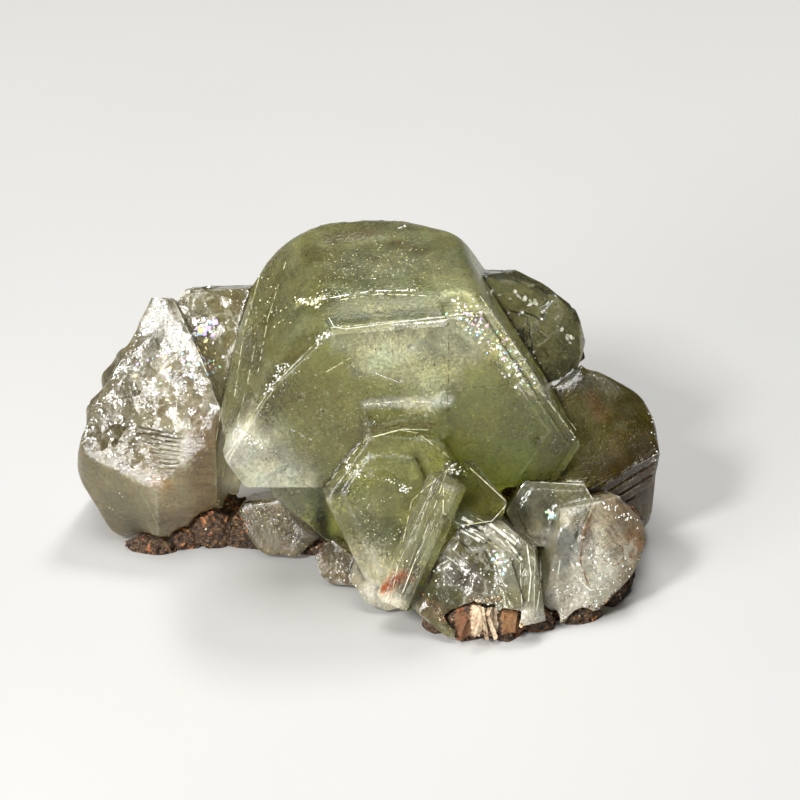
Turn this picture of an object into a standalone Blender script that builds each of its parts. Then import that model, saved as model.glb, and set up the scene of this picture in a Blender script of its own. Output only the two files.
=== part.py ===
"""Apatite specimen: a stubby green prism with the smaller crystals that grew against it, on its rusty matrix.

Lengths are in millimetres and become metres when a mesh is made. +Z is up, the front looks toward -Y,
and the origin is on the ground under the middle of the group.
"""

from dataclasses import dataclass, field
from math import cos, radians, sin
from random import Random

import bmesh
import bpy
from mathutils import Matrix, Vector, noise

MM = 0.001
ROUGH_BLOCK = 90.0
CLEARANCE = 0.35
GROUND = 0.0
CRYSTAL_FOOT = 0.6

CRYSTAL_COLOUR = (0.36, 0.36, 0.16, 1.0)
MATRIX_COLOUR = (0.20, 0.085, 0.035, 1.0)


def direction(azimuth, elevation):
    """Unit vector: azimuth 0 looks to the front (-Y), 90 to the right (+X); elevation is up from level."""
    a = radians(azimuth)
    e = radians(elevation)
    return Vector((sin(a) * cos(e), -cos(a) * cos(e), sin(e)))


@dataclass
class Crystal:
    """A crystal given by its faces, as a goniometer would read them.

    The seat is a point on the end face. Each face is (phi, rho, distance): phi turns round the c axis
    from the level direction, rho is the angle between the face's normal and the axis, and the distance
    runs from the seat to the face.
    """

    name: str
    seat: tuple
    azimuth: float
    elevation: float
    length: float
    faces: list = field(default_factory=list)

    def axes(self):
        """The level direction, the climbing direction and the c axis."""
        axis = direction(self.azimuth, self.elevation)
        level = Vector((0, 0, 1)).cross(axis).normalized()
        return level, axis.cross(level), axis

    def place(self, along, up, out):
        """World point, in millimetres, of a point given on the end face and out from it."""
        level, climb, axis = self.axes()
        return Vector(self.seat) + level * along + climb * up + axis * out

    def normal(self, phi, rho):
        """World normal of a face."""
        level, climb, axis = self.axes()
        round_axis = level * cos(radians(phi)) + climb * sin(radians(phi))
        return axis * cos(radians(rho)) + round_axis * sin(radians(rho))

    def room(self, point):
        """How far a point lies inside the nearest side face, in millimetres."""
        reach = point - Vector(self.seat)
        return min(distance - self.normal(phi, rho).dot(reach) for phi, rho, distance in self.faces)

    def frame_on(self, phi, rho):
        """Two directions that lie in a face, then the face's own normal."""
        if rho == 0:
            return self.axes()
        out = self.normal(phi, rho)
        along = self.axes()[2].cross(out).normalized()
        return along, out.cross(along), out


def prism(distances, turn=0.0):
    """Six prism faces at 60 degrees to each other, the first one at 30 degrees plus turn."""
    return [(30 + 60 * i + turn, 90, d) for i, d in enumerate(distances)]


MAIN = Crystal(
    "main_crystal",
    seat=(3.8, -5.0, 17.2),
    azimuth=10,
    elevation=0,
    length=25.9,
    faces=prism([17.0, 17.0, 17.9, 16.7, 17.1, 18.0])
    + [
        (134, 90, 17.55),
        (184, 114, 21.7),
        (177, 122, 23.8),
        (124, 123, 28.5),
        (92, 135, 29.75),
        (60, 125, 27.8),
        (20, 128, 26.8),
        (264, 72, 4.1),
        (225, 120, 24.0),
        (315, 116, 24.0),
    ],
)

MAIN_ROOT = Crystal(
    "main_crystal_root",
    seat=(2.85, 0.4, 17.2),
    azimuth=10,
    elevation=0,
    length=19.0,
    faces=prism([15.5, 14.0, 16.0, 15.8, 18.0, 17.2])
    + [
        (270, 42, 10.4),
        (222, 60, 13.2),
        (318, 60, 13.6),
        (240, 135, 22.0),
        (300, 130, 21.0),
        (180, 125, 21.0),
    ],
)

FRONT = Crystal(
    "front_crystal",
    seat=(2.3, -9.0, 12.3),
    azimuth=0,
    elevation=15,
    length=9.0,
    faces=prism([8.6, 8.6, 7.3, 6.1, 9.7, 9.0], turn=-5)
    + [(145, 52, 5.1), (112, 70, 8.6), (50, 66, 8.6), (205, 60, 5.0), (232, 78, 7.9), (265, 45, 6.2)],
)

BESIDE_FRONT = Crystal(
    "beside_front_crystal",
    seat=(11.9, -10.0, 14.6),
    azimuth=20,
    elevation=35,
    length=9.5,
    faces=prism([2.5, 4.2, 4.1, 3.9, 2.9, 3.5]) + [(30, 60, 2.0), (150, 62, 3.2)],
)

LATH = Crystal(
    "lath",
    seat=(8.6, -11.2, 17.5),
    azimuth=118,
    elevation=65,
    length=15.5,
    faces=[(143, 90, 1.2), (203, 90, 1.9), (83, 90, 1.8), (263, 90, 2.2), (23, 90, 2.1), (323, 90, 3.2)]
    + [(60, 42, 1.2), (143, 60, 0.9)],
)

LOWER_FRONT = Crystal(
    "lower_front_crystal",
    seat=(12.0, -14.0, 6.6),
    azimuth=-5,
    elevation=30,
    length=11.0,
    faces=[
        (145, 90, 5.0),
        (86, 90, 6.8),
        (51, 90, 6.5),
        (11, 90, 6.7),
        (284, 90, 6.2),
        (233, 90, 7.3),
        (30, 45, 5.3),
        (0, 30, 3.1),
        (112, 38, 4.2),
        (200, 35, 4.3),
        (68, 62, 6.0),
        (262, 50, 5.4),
    ],
)

CLEAR_RIGHT = Crystal(
    "clear_right_crystal",
    seat=(20.2, -6.0, 9.8),
    azimuth=0,
    elevation=30,
    length=9.0,
    faces=prism([5.1, 3.7, 4.4, 4.2, 3.6, 4.1], turn=-2) + [(208, 45, 3.1), (28, 52, 4.4)],
)

PALE_RIGHT = Crystal(
    "pale_right_crystal",
    seat=(25.3, -10.5, 6.7),
    azimuth=15,
    elevation=25,
    length=14.0,
    faces=[
        (96, 90, 6.4),
        (39, 90, 7.0),
        (8, 90, 6.5),
        (329, 90, 4.9),
        (307, 90, 4.4),
        (275, 90, 6.2),
        (184, 90, 8.2),
        (161, 90, 5.0),
        (60, 42, 5.0),
        (345, 48, 4.6),
        (120, 40, 3.4),
        (290, 45, 4.2),
        (200, 34, 4.0),
    ],
)

OLIVE_RIGHT = Crystal(
    "olive_right_crystal",
    seat=(26.7, 3.0, 15.3),
    azimuth=10,
    elevation=48,
    length=19.5,
    faces=[
        (0, 90, 6.4),
        (53, 90, 6.9),
        (83, 90, 8.1),
        (120, 90, 8.0),
        (170, 90, 7.5),
        (215, 90, 8.6),
        (20, 90, 6.6),
        (292, 57, 4.2),
        (341, 76, 6.4),
        (316, 70, 6.0),
        (10, 45, 5.6),
        (60, 40, 6.0),
        (90, 150, 17.5),
        (20, 140, 17.0),
    ],
)

CLEAR_BACK = Crystal(
    "clear_back_crystal",
    seat=(18.8, 10.0, 25.9),
    azimuth=25,
    elevation=25,
    length=14.0,
    faces=[
        (126, 90, 8.0),
        (85, 90, 5.8),
        (49, 90, 3.6),
        (13, 90, 5.2),
        (322, 90, 7.3),
        (273, 90, 7.4),
        (218, 90, 7.0),
        (70, 50, 3.0),
        (350, 42, 3.8),
    ],
)

DARK_BACK = Crystal(
    "dark_back_crystal",
    seat=(20.1, 15.0, 26.5),
    azimuth=25,
    elevation=25,
    length=12.0,
    faces=[
        (101, 90, 4.1),
        (54, 90, 1.1),
        (44, 90, 1.0),
        (6, 90, 2.8),
        (290, 90, 9.0),
        (204, 90, 6.0),
    ],
)

LEFT = Crystal(
    "left_crystal",
    seat=(-25.5, 6.5, 17.4),
    azimuth=-12,
    elevation=36,
    length=17.0,
    faces=[
        (96, 90, 11.9),
        (33, 90, 7.8),
        (28, 90, 7.6),
        (356, 90, 8.9),
        (160, 90, 5.1),
        (250, 45, 6.2),
        (193, 72, 8.2),
        (216, 85, 11.5),
        (316, 56, 7.4),
        (344, 78, 9.3),
        (40, 52, 6.6),
        (120, 135, 16.0),
        (40, 140, 15.0),
    ],
)

WEDGE = Crystal(
    "wedge_crystal",
    seat=(-17.8, 12.0, 23.5),
    azimuth=-5,
    elevation=25,
    length=10.0,
    faces=[(94, 90, 4.7), (352, 90, 3.2), (218, 90, 6.0), (206, 90, 5.2), (161, 90, 5.2), (200, 40, 3.2)],
)

PALE_LEFT = Crystal(
    "pale_left_crystal",
    seat=(-10.9, 1.0, 4.1),
    azimuth=-10,
    elevation=20,
    length=7.0,
    faces=[
        (102, 90, 3.0),
        (19, 90, 4.9),
        (317, 90, 4.5),
        (276, 90, 4.3),
        (220, 90, 3.6),
        (206, 90, 3.7),
        (150, 90, 4.6),
        (60, 50, 3.6),
        (250, 38, 3.4),
    ],
)

PALE_FOOT = Crystal(
    "pale_foot_crystal",
    seat=(-3.6, -5.5, 2.1),
    azimuth=-10,
    elevation=25,
    length=6.5,
    faces=[
        (112, 90, 3.4),
        (57, 90, 2.3),
        (17, 90, 2.7),
        (260, 90, 2.6),
        (230, 90, 1.9),
        (202, 90, 2.2),
        (150, 90, 3.0),
    ],
)

WHITE_FOOT = Crystal(
    "white_foot",
    seat=(0.9, -10.6, 3.2),
    azimuth=0,
    elevation=20,
    length=6.0,
    faces=[
        (90, 90, 2.9),
        (7, 90, 3.1),
        (334, 90, 3.2),
        (281, 90, 2.9),
        (247, 90, 2.2),
        (216, 90, 2.1),
        (160, 90, 3.2),
        (300, 40, 2.6),
        (200, 42, 1.9),
    ],
)

GROWN_ON_MAIN = [
    MAIN_ROOT,
    FRONT,
    BESIDE_FRONT,
    LATH,
    LOWER_FRONT,
    CLEAR_RIGHT,
    PALE_RIGHT,
    OLIVE_RIGHT,
    CLEAR_BACK,
    DARK_BACK,
    LEFT,
    WEDGE,
    PALE_LEFT,
    PALE_FOOT,
    WHITE_FOOT,
]


BACK_FACE = Crystal(
    "back_face",
    seat=MAIN.place(0.0, 0.0, -25.9),
    azimuth=190,
    elevation=0,
    length=1.0,
    faces=prism([12.5, 12.0, 11.5, 12.5, 13.0, 12.0]),
)

BACK_STEPS = [
    Crystal(
        "back_plate",
        seat=BACK_FACE.place(1.2, -0.8, 0.4),
        azimuth=190,
        elevation=0,
        length=1.4,
        faces=[
            (28, 74, 9.8),
            (92, 72, 8.4),
            (150, 76, 10.2),
            (214, 72, 9.4),
            (268, 70, 10.0),
            (330, 74, 8.2),
        ],
    ),
    Crystal(
        "back_terrace",
        seat=BACK_FACE.place(-1.0, 1.4, 0.8),
        azimuth=190,
        elevation=0,
        length=1.4,
        faces=[(32, 68, 5.8), (88, 70, 4.0), (152, 66, 6.2), (210, 70, 5.0), (272, 68, 6.4), (328, 66, 3.6)],
    ),
]

MAIN_STEPS = [
    Crystal(
        "end_face_bench",
        seat=MAIN.place(0.2, 3.6, 1.2),
        azimuth=10,
        elevation=0,
        length=2.0,
        faces=[(95, 52, 1.2), (35, 70, 4.6), (150, 62, 3.9), (275, 80, 1.7), (0, 68, 4.4), (184, 66, 4.0)],
    ),
    Crystal(
        "end_face_plate",
        seat=MAIN.place(1.0, 4.0, 0.4),
        azimuth=10,
        elevation=0,
        length=1.4,
        faces=[
            (30, 72, 12.4),
            (90, 86, 12.75),
            (134, 86, 15.1),
            (150, 86, 16.5),
            (210, 86, 19.3),
            (264, 80, 8.1),
            (330, 72, 16.9),
        ],
    ),
    Crystal(
        "end_face_terrace",
        seat=MAIN.place(7.5, 2.0, 0.58),
        azimuth=10,
        elevation=0,
        length=1.4,
        faces=[(30, 68, 7.0), (90, 64, 5.2), (150, 60, 5.0), (210, 60, 5.4), (268, 66, 5.9), (330, 68, 7.4)],
    ),
]

SIDE_STEPS = [
    Crystal(
        "right_lath_a",
        seat=LOWER_FRONT.place(-0.6, 5.0, 0.7),
        azimuth=-5,
        elevation=30,
        length=1.6,
        faces=[(58, 80, 0.42), (148, 75, 1.5), (238, 80, 0.42), (328, 75, 1.6)],
    ),
    Crystal(
        "right_lath_b",
        seat=LOWER_FRONT.place(-1.5, 2.6, 0.55),
        azimuth=-5,
        elevation=30,
        length=1.4,
        faces=[(52, 80, 0.6), (142, 75, 1.5), (232, 80, 0.6), (322, 75, 1.6)],
    ),
    Crystal(
        "right_lath_c",
        seat=LOWER_FRONT.place(2.6, 3.9, 0.55),
        azimuth=-5,
        elevation=30,
        length=1.6,
        faces=[(56, 80, 0.35), (146, 75, 1.9), (236, 80, 0.35), (326, 75, 1.9)],
    ),
    Crystal(
        "right_lath_d",
        seat=LOWER_FRONT.place(-2.9, 0.4, 0.5),
        azimuth=-5,
        elevation=30,
        length=1.4,
        faces=[(40, 80, 0.7), (130, 75, 1.1), (220, 80, 0.7), (310, 75, 1.0)],
    ),
    Crystal(
        "right_lath_e",
        seat=LOWER_FRONT.place(3.6, -0.4, 0.45),
        azimuth=-5,
        elevation=30,
        length=1.4,
        faces=[(20, 80, 0.8), (110, 75, 2.6), (200, 80, 0.8), (290, 75, 2.6)],
    ),
    Crystal(
        "front_plate",
        seat=FRONT.place(-0.6, 0.6, 0.35),
        azimuth=0,
        elevation=15,
        length=1.2,
        faces=[(25, 70, 5.0), (85, 66, 5.2), (145, 62, 4.1), (205, 66, 3.4), (262, 64, 7.0), (325, 70, 5.0)],
    ),
    Crystal(
        "clear_right_plate",
        seat=CLEAR_RIGHT.place(0.2, 0.1, 0.3),
        azimuth=0,
        elevation=30,
        length=1.0,
        faces=prism([4.2, 2.8, 3.5, 3.3, 2.7, 3.2], turn=-2),
    ),
]


def chips(host, count, middle, spread, size, seed):
    """Low broken plates strewn over an end face, each tilted a little its own way."""
    dice = Random(seed)
    made = []
    while len(made) < count:
        along = middle[0] + dice.uniform(-1, 1) * spread[0]
        up = middle[1] + dice.uniform(-1, 1) * spread[1]
        if host.room(host.place(along, up, 0.0)) < 1.2 * size:
            continue
        start = dice.uniform(0, 72)
        faces = [
            (start + 72 * k + dice.uniform(-18, 18), dice.uniform(38, 72), dice.uniform(0.6, 1.3) * size)
            for k in range(5)
        ]
        made.append(
            Crystal(
                f"{host.name}_chip_{seed}_{len(made)}",
                seat=host.place(along, up, dice.uniform(0.05, 0.3)),
                azimuth=host.azimuth + dice.uniform(-13, 13),
                elevation=host.elevation + dice.uniform(-11, 11),
                length=1.2,
                faces=faces,
            )
        )
    return made


@dataclass
class Bar:
    """A straight groove or ledge on a crystal: middle and size on its end face, then out, and its roll."""

    name: str
    crystal: Crystal
    middle: tuple
    size: tuple
    roll: float = 0.0
    face: tuple = (0, 0)

    def build(self):
        """The bar as a block that lies along its face."""
        bm = bmesh.new()
        bmesh.ops.create_cube(bm, size=1.0)
        bmesh.ops.scale(bm, vec=self.size, verts=bm.verts)
        bmesh.ops.rotate(bm, matrix=Matrix.Rotation(radians(self.roll), 3, "Z"), verts=bm.verts)
        frame = self.crystal.frame_on(*self.face)
        bmesh.ops.rotate(bm, matrix=Matrix(frame).transposed(), verts=bm.verts)
        spot = Vector(self.crystal.seat)
        for axis, distance in zip(frame, self.middle):
            spot += axis * distance
        bmesh.ops.translate(bm, vec=spot, verts=bm.verts)
        return bm


TOP_NOTCHES = [
    Bar("top_notch", MAIN, (1.7, -2.0, 17.25), (13.0, 4.8, 2.4), 1.0, (90, 90)),
    Bar("top_step", MAIN, (4.2, -3.0, 17.95), (14.6, 8.4, 2.4), 3.0, (90, 90)),
    Bar("top_scar", MAIN, (2.5, -18.5, 18.0), (9.0, 3.4, 2.5), -8.0, (90, 90)),
]

LEFT_FACE_GROOVES = [
    Bar(f"left_face_groove_{i}", MAIN, (along, up, 18.0), (0.42, length, 0.7), roll, (150, 90))
    for i, (along, up, length, roll) in enumerate(
        [(-4.6, -6.5, 9.0, 3.0), (-1.2, -9.0, 12.0, -2.0), (1.8, -5.0, 7.0, 4.0), (4.4, -7.0, 9.0, 1.0)]
    )
]

GROWTH_GROOVES = [
    Bar(
        f"growth_groove_{i}",
        LEFT,
        (2.0 + 0.4 * i, -3.6 - 1.02 * i, 0.12),
        (6.4 - 0.8 * i, 0.5, 0.8),
        1.5 * i - 3.0,
    )
    for i in range(5)
]

SIDE_GROOVES = [
    Bar(
        f"side_groove_{i}",
        OLIVE_RIGHT,
        (0.6 * i - 1.2, 0.3 - 1.5 * i, 4.25),
        (9.5 - 0.8 * i, 0.45, 0.8),
        6.0,
        (292, 57),
    )
    for i in range(6)
]

CRACKS = [
    Bar(f"edge_crack_{i}", PALE_RIGHT, (along, up, 0.0), (0.3, 1.75, 1.4), roll)
    for i, (along, up, roll) in enumerate(
        [(-1.5, 4.3, 22.0), (-1.9, 2.9, -8.0), (-2.4, 1.6, 30.0), (-3.0, 0.3, 10.0)]
    )
]

LUMP_PEAKS = 2.3


@dataclass
class Lump:
    """A rounded crumb of matrix; a grown copy cuts its seat in the crystals."""

    centre: tuple
    radii: tuple

    def build(self, grown=0.0):
        """An uneven ball, scaled to the radii plus what it is grown by."""
        bm = bmesh.new()
        bmesh.ops.create_icosphere(bm, subdivisions=2, radius=1.0)
        centre = Vector(self.centre)
        for v in bm.verts:
            swell = 1.0 + 0.22 * noise.noise(v.co * LUMP_PEAKS + centre)
            v.co = Vector(c * (r * swell + grown) for c, r in zip(v.co, self.radii))
        bmesh.ops.translate(bm, vec=centre, verts=bm.verts)
        return bm


@dataclass
class Blade:
    """A flat mica-like blade standing in the matrix."""

    centre: tuple
    size: tuple
    azimuth: float
    lean: float

    def build(self, grown=0.0):
        """A block, turned and leaned."""
        bm = bmesh.new()
        bmesh.ops.create_cube(bm, size=1.0)
        bmesh.ops.scale(bm, vec=[s + 2 * grown for s in self.size], verts=bm.verts)
        turn = Matrix.Rotation(radians(self.azimuth), 3, "Z") @ Matrix.Rotation(radians(self.lean), 3, "Y")
        bmesh.ops.rotate(bm, matrix=turn, verts=bm.verts)
        bmesh.ops.translate(bm, vec=self.centre, verts=bm.verts)
        return bm


MATRIX = [
    Lump((3.0, 4.0, 0.9), (12.0, 8.5, 2.2)),
    Lump((-8.0, 6.6, 0.8), (9.0, 6.5, 2.1)),
    Lump((-20.5, 7.4, 0.9), (8.0, 5.6, 2.2)),
    Lump((-18.2, 4.0, 1.6), (3.0, 2.3, 2.4)),
    Lump((-14.9, 3.9, 1.2), (2.8, 2.0, 2.0)),
    Lump((-21.6, 3.4, 0.9), (2.4, 2.0, 1.5)),
    Lump((-25.0, 2.6, 0.5), (3.4, 1.9, 1.3)),
    Lump((14.5, -5.0, 1.0), (7.5, 8.5, 2.3)),
    Lump((11.2, -14.2, 1.3), (3.2, 2.8, 2.9)),
    Lump((14.6, -14.6, 1.2), (2.9, 2.5, 2.5)),
    Lump((7.8, -13.6, 0.8), (2.2, 2.1, 1.6)),
    Lump((18.3, -13.2, 0.9), (2.8, 2.3, 1.6)),
    Lump((22.5, -3.5, 1.0), (8.0, 7.0, 2.3)),
    Lump((23.0, -11.3, 0.7), (3.2, 2.5, 1.4)),
    Lump((26.8, -7.9, 1.0), (2.4, 2.4, 1.7)),
    Lump((28.2, -4.6, 1.6), (2.2, 3.2, 2.2)),
    Lump((28.7, -3.8, 3.9), (1.9, 2.7, 1.9)),
    Lump((29.3, -2.6, 5.6), (1.9, 2.6, 1.7)),
    Lump((29.5, -2.2, 7.0), (1.7, 2.5, 1.2)),
    Lump((27.4, -1.6, 3.6), (2.3, 3.0, 2.6)),
    Lump((13.0, 12.0, 1.0), (9.0, 8.0, 2.4)),
    Lump((-3.0, 14.5, 0.9), (8.5, 7.0, 2.3)),
    Lump((4.5, 18.8, 1.4), (3.6, 2.8, 2.2)),
    Lump((-9.4, 18.2, 1.2), (3.0, 2.6, 2.0)),
    Blade((12.0, -16.4, 2.5), (0.6, 1.9, 3.0), 20, 14),
    Blade((12.7, -16.6, 2.3), (0.5, 1.8, 3.3), 5, -8),
    Blade((13.7, -16.4, 2.2), (0.6, 1.8, 3.2), -12, -20),
    Blade((15.6, -16.1, 2.3), (1.5, 1.4, 2.1), -8, 4),
    Blade((10.4, -16.3, 1.8), (0.9, 1.6, 2.3), 30, 22),
]


@dataclass
class Pit:
    """A small flat-sided etch pit on an end face."""

    crystal: Crystal
    spot: tuple
    radius: float
    depth: float
    sides: int = 6
    raised: float = 0.0

    def build(self):
        """A short cone across the face."""
        bm = bmesh.new()
        height = self.depth + 0.5
        wide = self.radius * height / self.depth
        tip = 0.12 * self.radius
        bmesh.ops.create_cone(
            bm, cap_ends=True, segments=self.sides, radius1=tip, radius2=wide, depth=height
        )
        middle = self.raised + 0.5 * height - self.depth
        along, up = self.spot
        bmesh.ops.rotate(bm, matrix=Matrix.Rotation(along, 3, "Z"), verts=bm.verts)
        bmesh.ops.rotate(bm, matrix=Matrix(self.crystal.axes()).transposed(), verts=bm.verts)
        bmesh.ops.translate(bm, vec=self.crystal.place(along, up, middle), verts=bm.verts)
        return bm


PITS = [
    Pit(MAIN, (-5.8, 12.4), 0.42, 0.22, 3, 0.4),
    Pit(MAIN, (-11.4, 8.6), 0.40, 0.22, 5, 0.4),
    Pit(MAIN, (-9.0, 6.6), 0.32, 0.2, 4, 0.4),
    Pit(MAIN, (0.7, 13.7), 0.34, 0.2, 5, 0.4),
    Pit(MAIN, (2.5, 11.9), 0.30, 0.2, 4, 0.4),
    Pit(MAIN, (-0.5, 9.6), 0.38, 0.22, 6, 0.4),
    Pit(MAIN, (-7.4, 1.8), 0.45, 0.22, 6, 0.4),
    Pit(MAIN, (-13.2, -0.6), 0.5, 0.25, 5, 0.4),
    Pit(MAIN, (14.9, 0.4), 0.36, 0.2, 6, 0.4),
    Pit(FRONT, (-2.6, 4.4), 0.45, 0.22, 5, 0.35),
    Pit(LEFT, (-2.6, 7.4), 0.7, 0.3, 5),
    Pit(LEFT, (1.2, 8.2), 0.6, 0.3, 4),
]

CHIPS = (
    chips(LEFT, 30, (0.4, 1.4), (5.6, 5.4), 1.05, 3)
    + chips(LEFT, 6, (-4.6, -3.0), (1.8, 1.6), 0.8, 8)
    + chips(WEDGE, 7, (-0.6, 1.2), (2.0, 2.6), 0.9, 5)
    + chips(PALE_RIGHT, 12, (1.2, -0.8), (3.2, 3.2), 1.0, 11)
    + chips(CLEAR_BACK, 9, (-0.4, -0.4), (3.4, 2.0), 1.0, 14)
    + chips(LOWER_FRONT, 8, (0.6, -0.6), (3.2, 2.8), 0.9, 17)
    + chips(BACK_FACE, 12, (6.4, -6.0), (5.0, 4.4), 1.3, 23)
)


def clear_scene():
    """Remove what the startup scene holds."""
    for obj in list(bpy.data.objects):
        bpy.data.objects.remove(obj, do_unlink=True)


def collection(name, helper=False):
    """A collection in the scene; a helper one isn't rendered."""
    made = bpy.data.collections.new(name)
    bpy.context.scene.collection.children.link(made)
    made.hide_render = helper
    return made


def material(name, colour, roughness):
    """A plain Principled material."""
    made = bpy.data.materials.new(name)
    made.use_nodes = True
    shader = made.node_tree.nodes["Principled BSDF"]
    shader.inputs["Base Color"].default_value = colour
    shader.inputs["Roughness"].default_value = roughness
    shader.inputs["Metallic"].default_value = 0.0
    return made


def put(bm, name, where, helper=True):
    """Turn a bmesh in millimetres into an object in metres."""
    bmesh.ops.scale(bm, vec=(MM, MM, MM), verts=bm.verts)
    bmesh.ops.recalc_face_normals(bm, faces=bm.faces)
    mesh = bpy.data.meshes.new(name)
    bm.to_mesh(mesh)
    bm.free()
    obj = bpy.data.objects.new(name, mesh)
    where.objects.link(obj)
    if helper:
        obj.hide_render = True
        obj.display_type = "WIRE"
    return obj


def cut(bm, point, normal):
    """Cut away what lies beyond a plane and close the cut with one flat face."""
    result = bmesh.ops.bisect_plane(
        bm,
        geom=bm.verts[:] + bm.edges[:] + bm.faces[:],
        plane_co=point,
        plane_no=normal,
        clear_outer=True,
    )
    rim = [e for e in result["geom_cut"] if isinstance(e, bmesh.types.BMEdge)]
    if rim:
        bmesh.ops.contextual_create(bm, geom=rim)


def grow(crystal):
    """The closed shape of a crystal: a block cut down face by face."""
    bm = bmesh.new()
    bmesh.ops.create_cube(bm, size=ROUGH_BLOCK)
    bmesh.ops.translate(bm, vec=Vector(crystal.seat), verts=bm.verts)
    seat = Vector(crystal.seat)
    ends = [(0, 0, 0.0), (0, 180, crystal.length)]
    for phi, rho, distance in ends + crystal.faces:
        normal = crystal.normal(phi, rho)
        cut(bm, seat + normal * distance, normal)
    return bm


def block_below(height):
    """A block that fills everything below a height, to cut a foot flat."""
    bm = bmesh.new()
    bmesh.ops.create_cube(bm, size=ROUGH_BLOCK)
    bmesh.ops.translate(bm, vec=(0, 0, height - ROUGH_BLOCK / 2), verts=bm.verts)
    return bm


def boolean(obj, name, operation, tools):
    """Join or cut an object with every shape of a collection."""
    modifier = obj.modifiers.new(name, "BOOLEAN")
    modifier.operation = operation
    modifier.solver = "EXACT"
    modifier.operand_type = "COLLECTION"
    modifier.collection = tools


def main():
    clear_scene()
    specimen = collection("apatite_specimen")
    intergrown = collection("intergrown_crystals", helper=True)
    worn = collection("crystal_cuts", helper=True)
    crumbs = collection("matrix_crumbs", helper=True)
    ground = collection("ground", helper=True)

    crystals = put(grow(MAIN), "crystals", specimen, helper=False)
    crystals.data.materials.append(material("apatite", CRYSTAL_COLOUR, 0.25))
    for crystal in GROWN_ON_MAIN + MAIN_STEPS + BACK_STEPS + SIDE_STEPS + CHIPS:
        put(grow(crystal), crystal.name, intergrown)
    for bar in TOP_NOTCHES + LEFT_FACE_GROOVES + GROWTH_GROOVES + SIDE_GROOVES + CRACKS:
        put(bar.build(), bar.name, worn)
    for i, pit in enumerate(PITS):
        put(pit.build(), f"pit_{i}", worn)
    for i, crumb in enumerate(MATRIX):
        put(crumb.build(grown=CLEARANCE), f"matrix_seat_{i}", worn)

    matrix = put(MATRIX[0].build(), "matrix", specimen, helper=False)
    matrix.data.materials.append(material("rusty_matrix", MATRIX_COLOUR, 0.9))
    for i, crumb in enumerate(MATRIX[1:]):
        put(crumb.build(), f"crumb_{i}", crumbs)
    put(block_below(GROUND), "matrix_ground", ground)
    put(block_below(CRYSTAL_FOOT), "crystal_ground", worn)

    boolean(crystals, "grown_together", "UNION", intergrown)
    boolean(crystals, "worn_away", "DIFFERENCE", worn)
    boolean(matrix, "crumbs_together", "UNION", crumbs)
    boolean(matrix, "set_down", "DIFFERENCE", ground)


main()
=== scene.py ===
"""Looks of an apatite cluster: translucent olive crystals that grew together on a thin rusty matrix.

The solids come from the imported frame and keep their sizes. Lengths here are in millimetres and become
metres when a mesh is made, unless a name ends in _m. The front looks toward -Y, and +Z is up.
"""

import logging
import math
from collections.abc import Callable
from dataclasses import dataclass, field
from enum import Enum
from functools import cached_property
from random import Random

import bmesh
import bpy
import numpy as np
from mathutils import Matrix, Vector, noise
from mathutils.bvhtree import BVHTree
from mathutils.kdtree import KDTree


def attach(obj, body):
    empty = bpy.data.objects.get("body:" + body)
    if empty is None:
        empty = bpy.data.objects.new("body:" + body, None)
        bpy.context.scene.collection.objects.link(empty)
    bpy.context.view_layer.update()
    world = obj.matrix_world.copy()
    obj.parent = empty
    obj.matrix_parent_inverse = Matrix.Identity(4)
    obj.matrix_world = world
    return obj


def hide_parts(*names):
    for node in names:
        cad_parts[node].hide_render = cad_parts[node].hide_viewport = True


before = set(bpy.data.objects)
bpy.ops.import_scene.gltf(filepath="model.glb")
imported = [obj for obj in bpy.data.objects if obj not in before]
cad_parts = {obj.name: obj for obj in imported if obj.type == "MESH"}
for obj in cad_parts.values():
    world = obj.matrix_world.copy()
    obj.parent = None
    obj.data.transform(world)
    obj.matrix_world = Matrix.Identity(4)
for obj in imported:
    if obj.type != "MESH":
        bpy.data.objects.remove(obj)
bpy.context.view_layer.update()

log = logging.getLogger("apatite")

MM = 0.001
Tone = tuple[float, float, float]


def tone(red: int, green: int, blue: int) -> Tone:
    """Turn a screen colour, 0 to 255, into the linear one that a shader takes.

    Args:
        red: Red, 0 to 255.
        green: Green, 0 to 255.
        blue: Blue, 0 to 255.

    Returns:
        Linear red, green and blue, 0 to 1.
    """
    scaled = [c / 255 for c in (red, green, blue)]
    return tuple(c / 12.92 if c <= 0.04045 else ((c + 0.055) / 1.055) ** 2.4 for c in scaled)


def direction(azimuth: float, elevation: float) -> Vector:
    """Unit vector that looks to the front at azimuth 0 and to the right at 90.

    Args:
        azimuth: Degrees round +Z from -Y towards +X.
        elevation: Degrees up from level.

    Returns:
        The unit vector.
    """
    a, e = math.radians(azimuth), math.radians(elevation)
    return Vector((math.sin(a) * math.cos(e), -math.cos(a) * math.cos(e), math.sin(e)))


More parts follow.
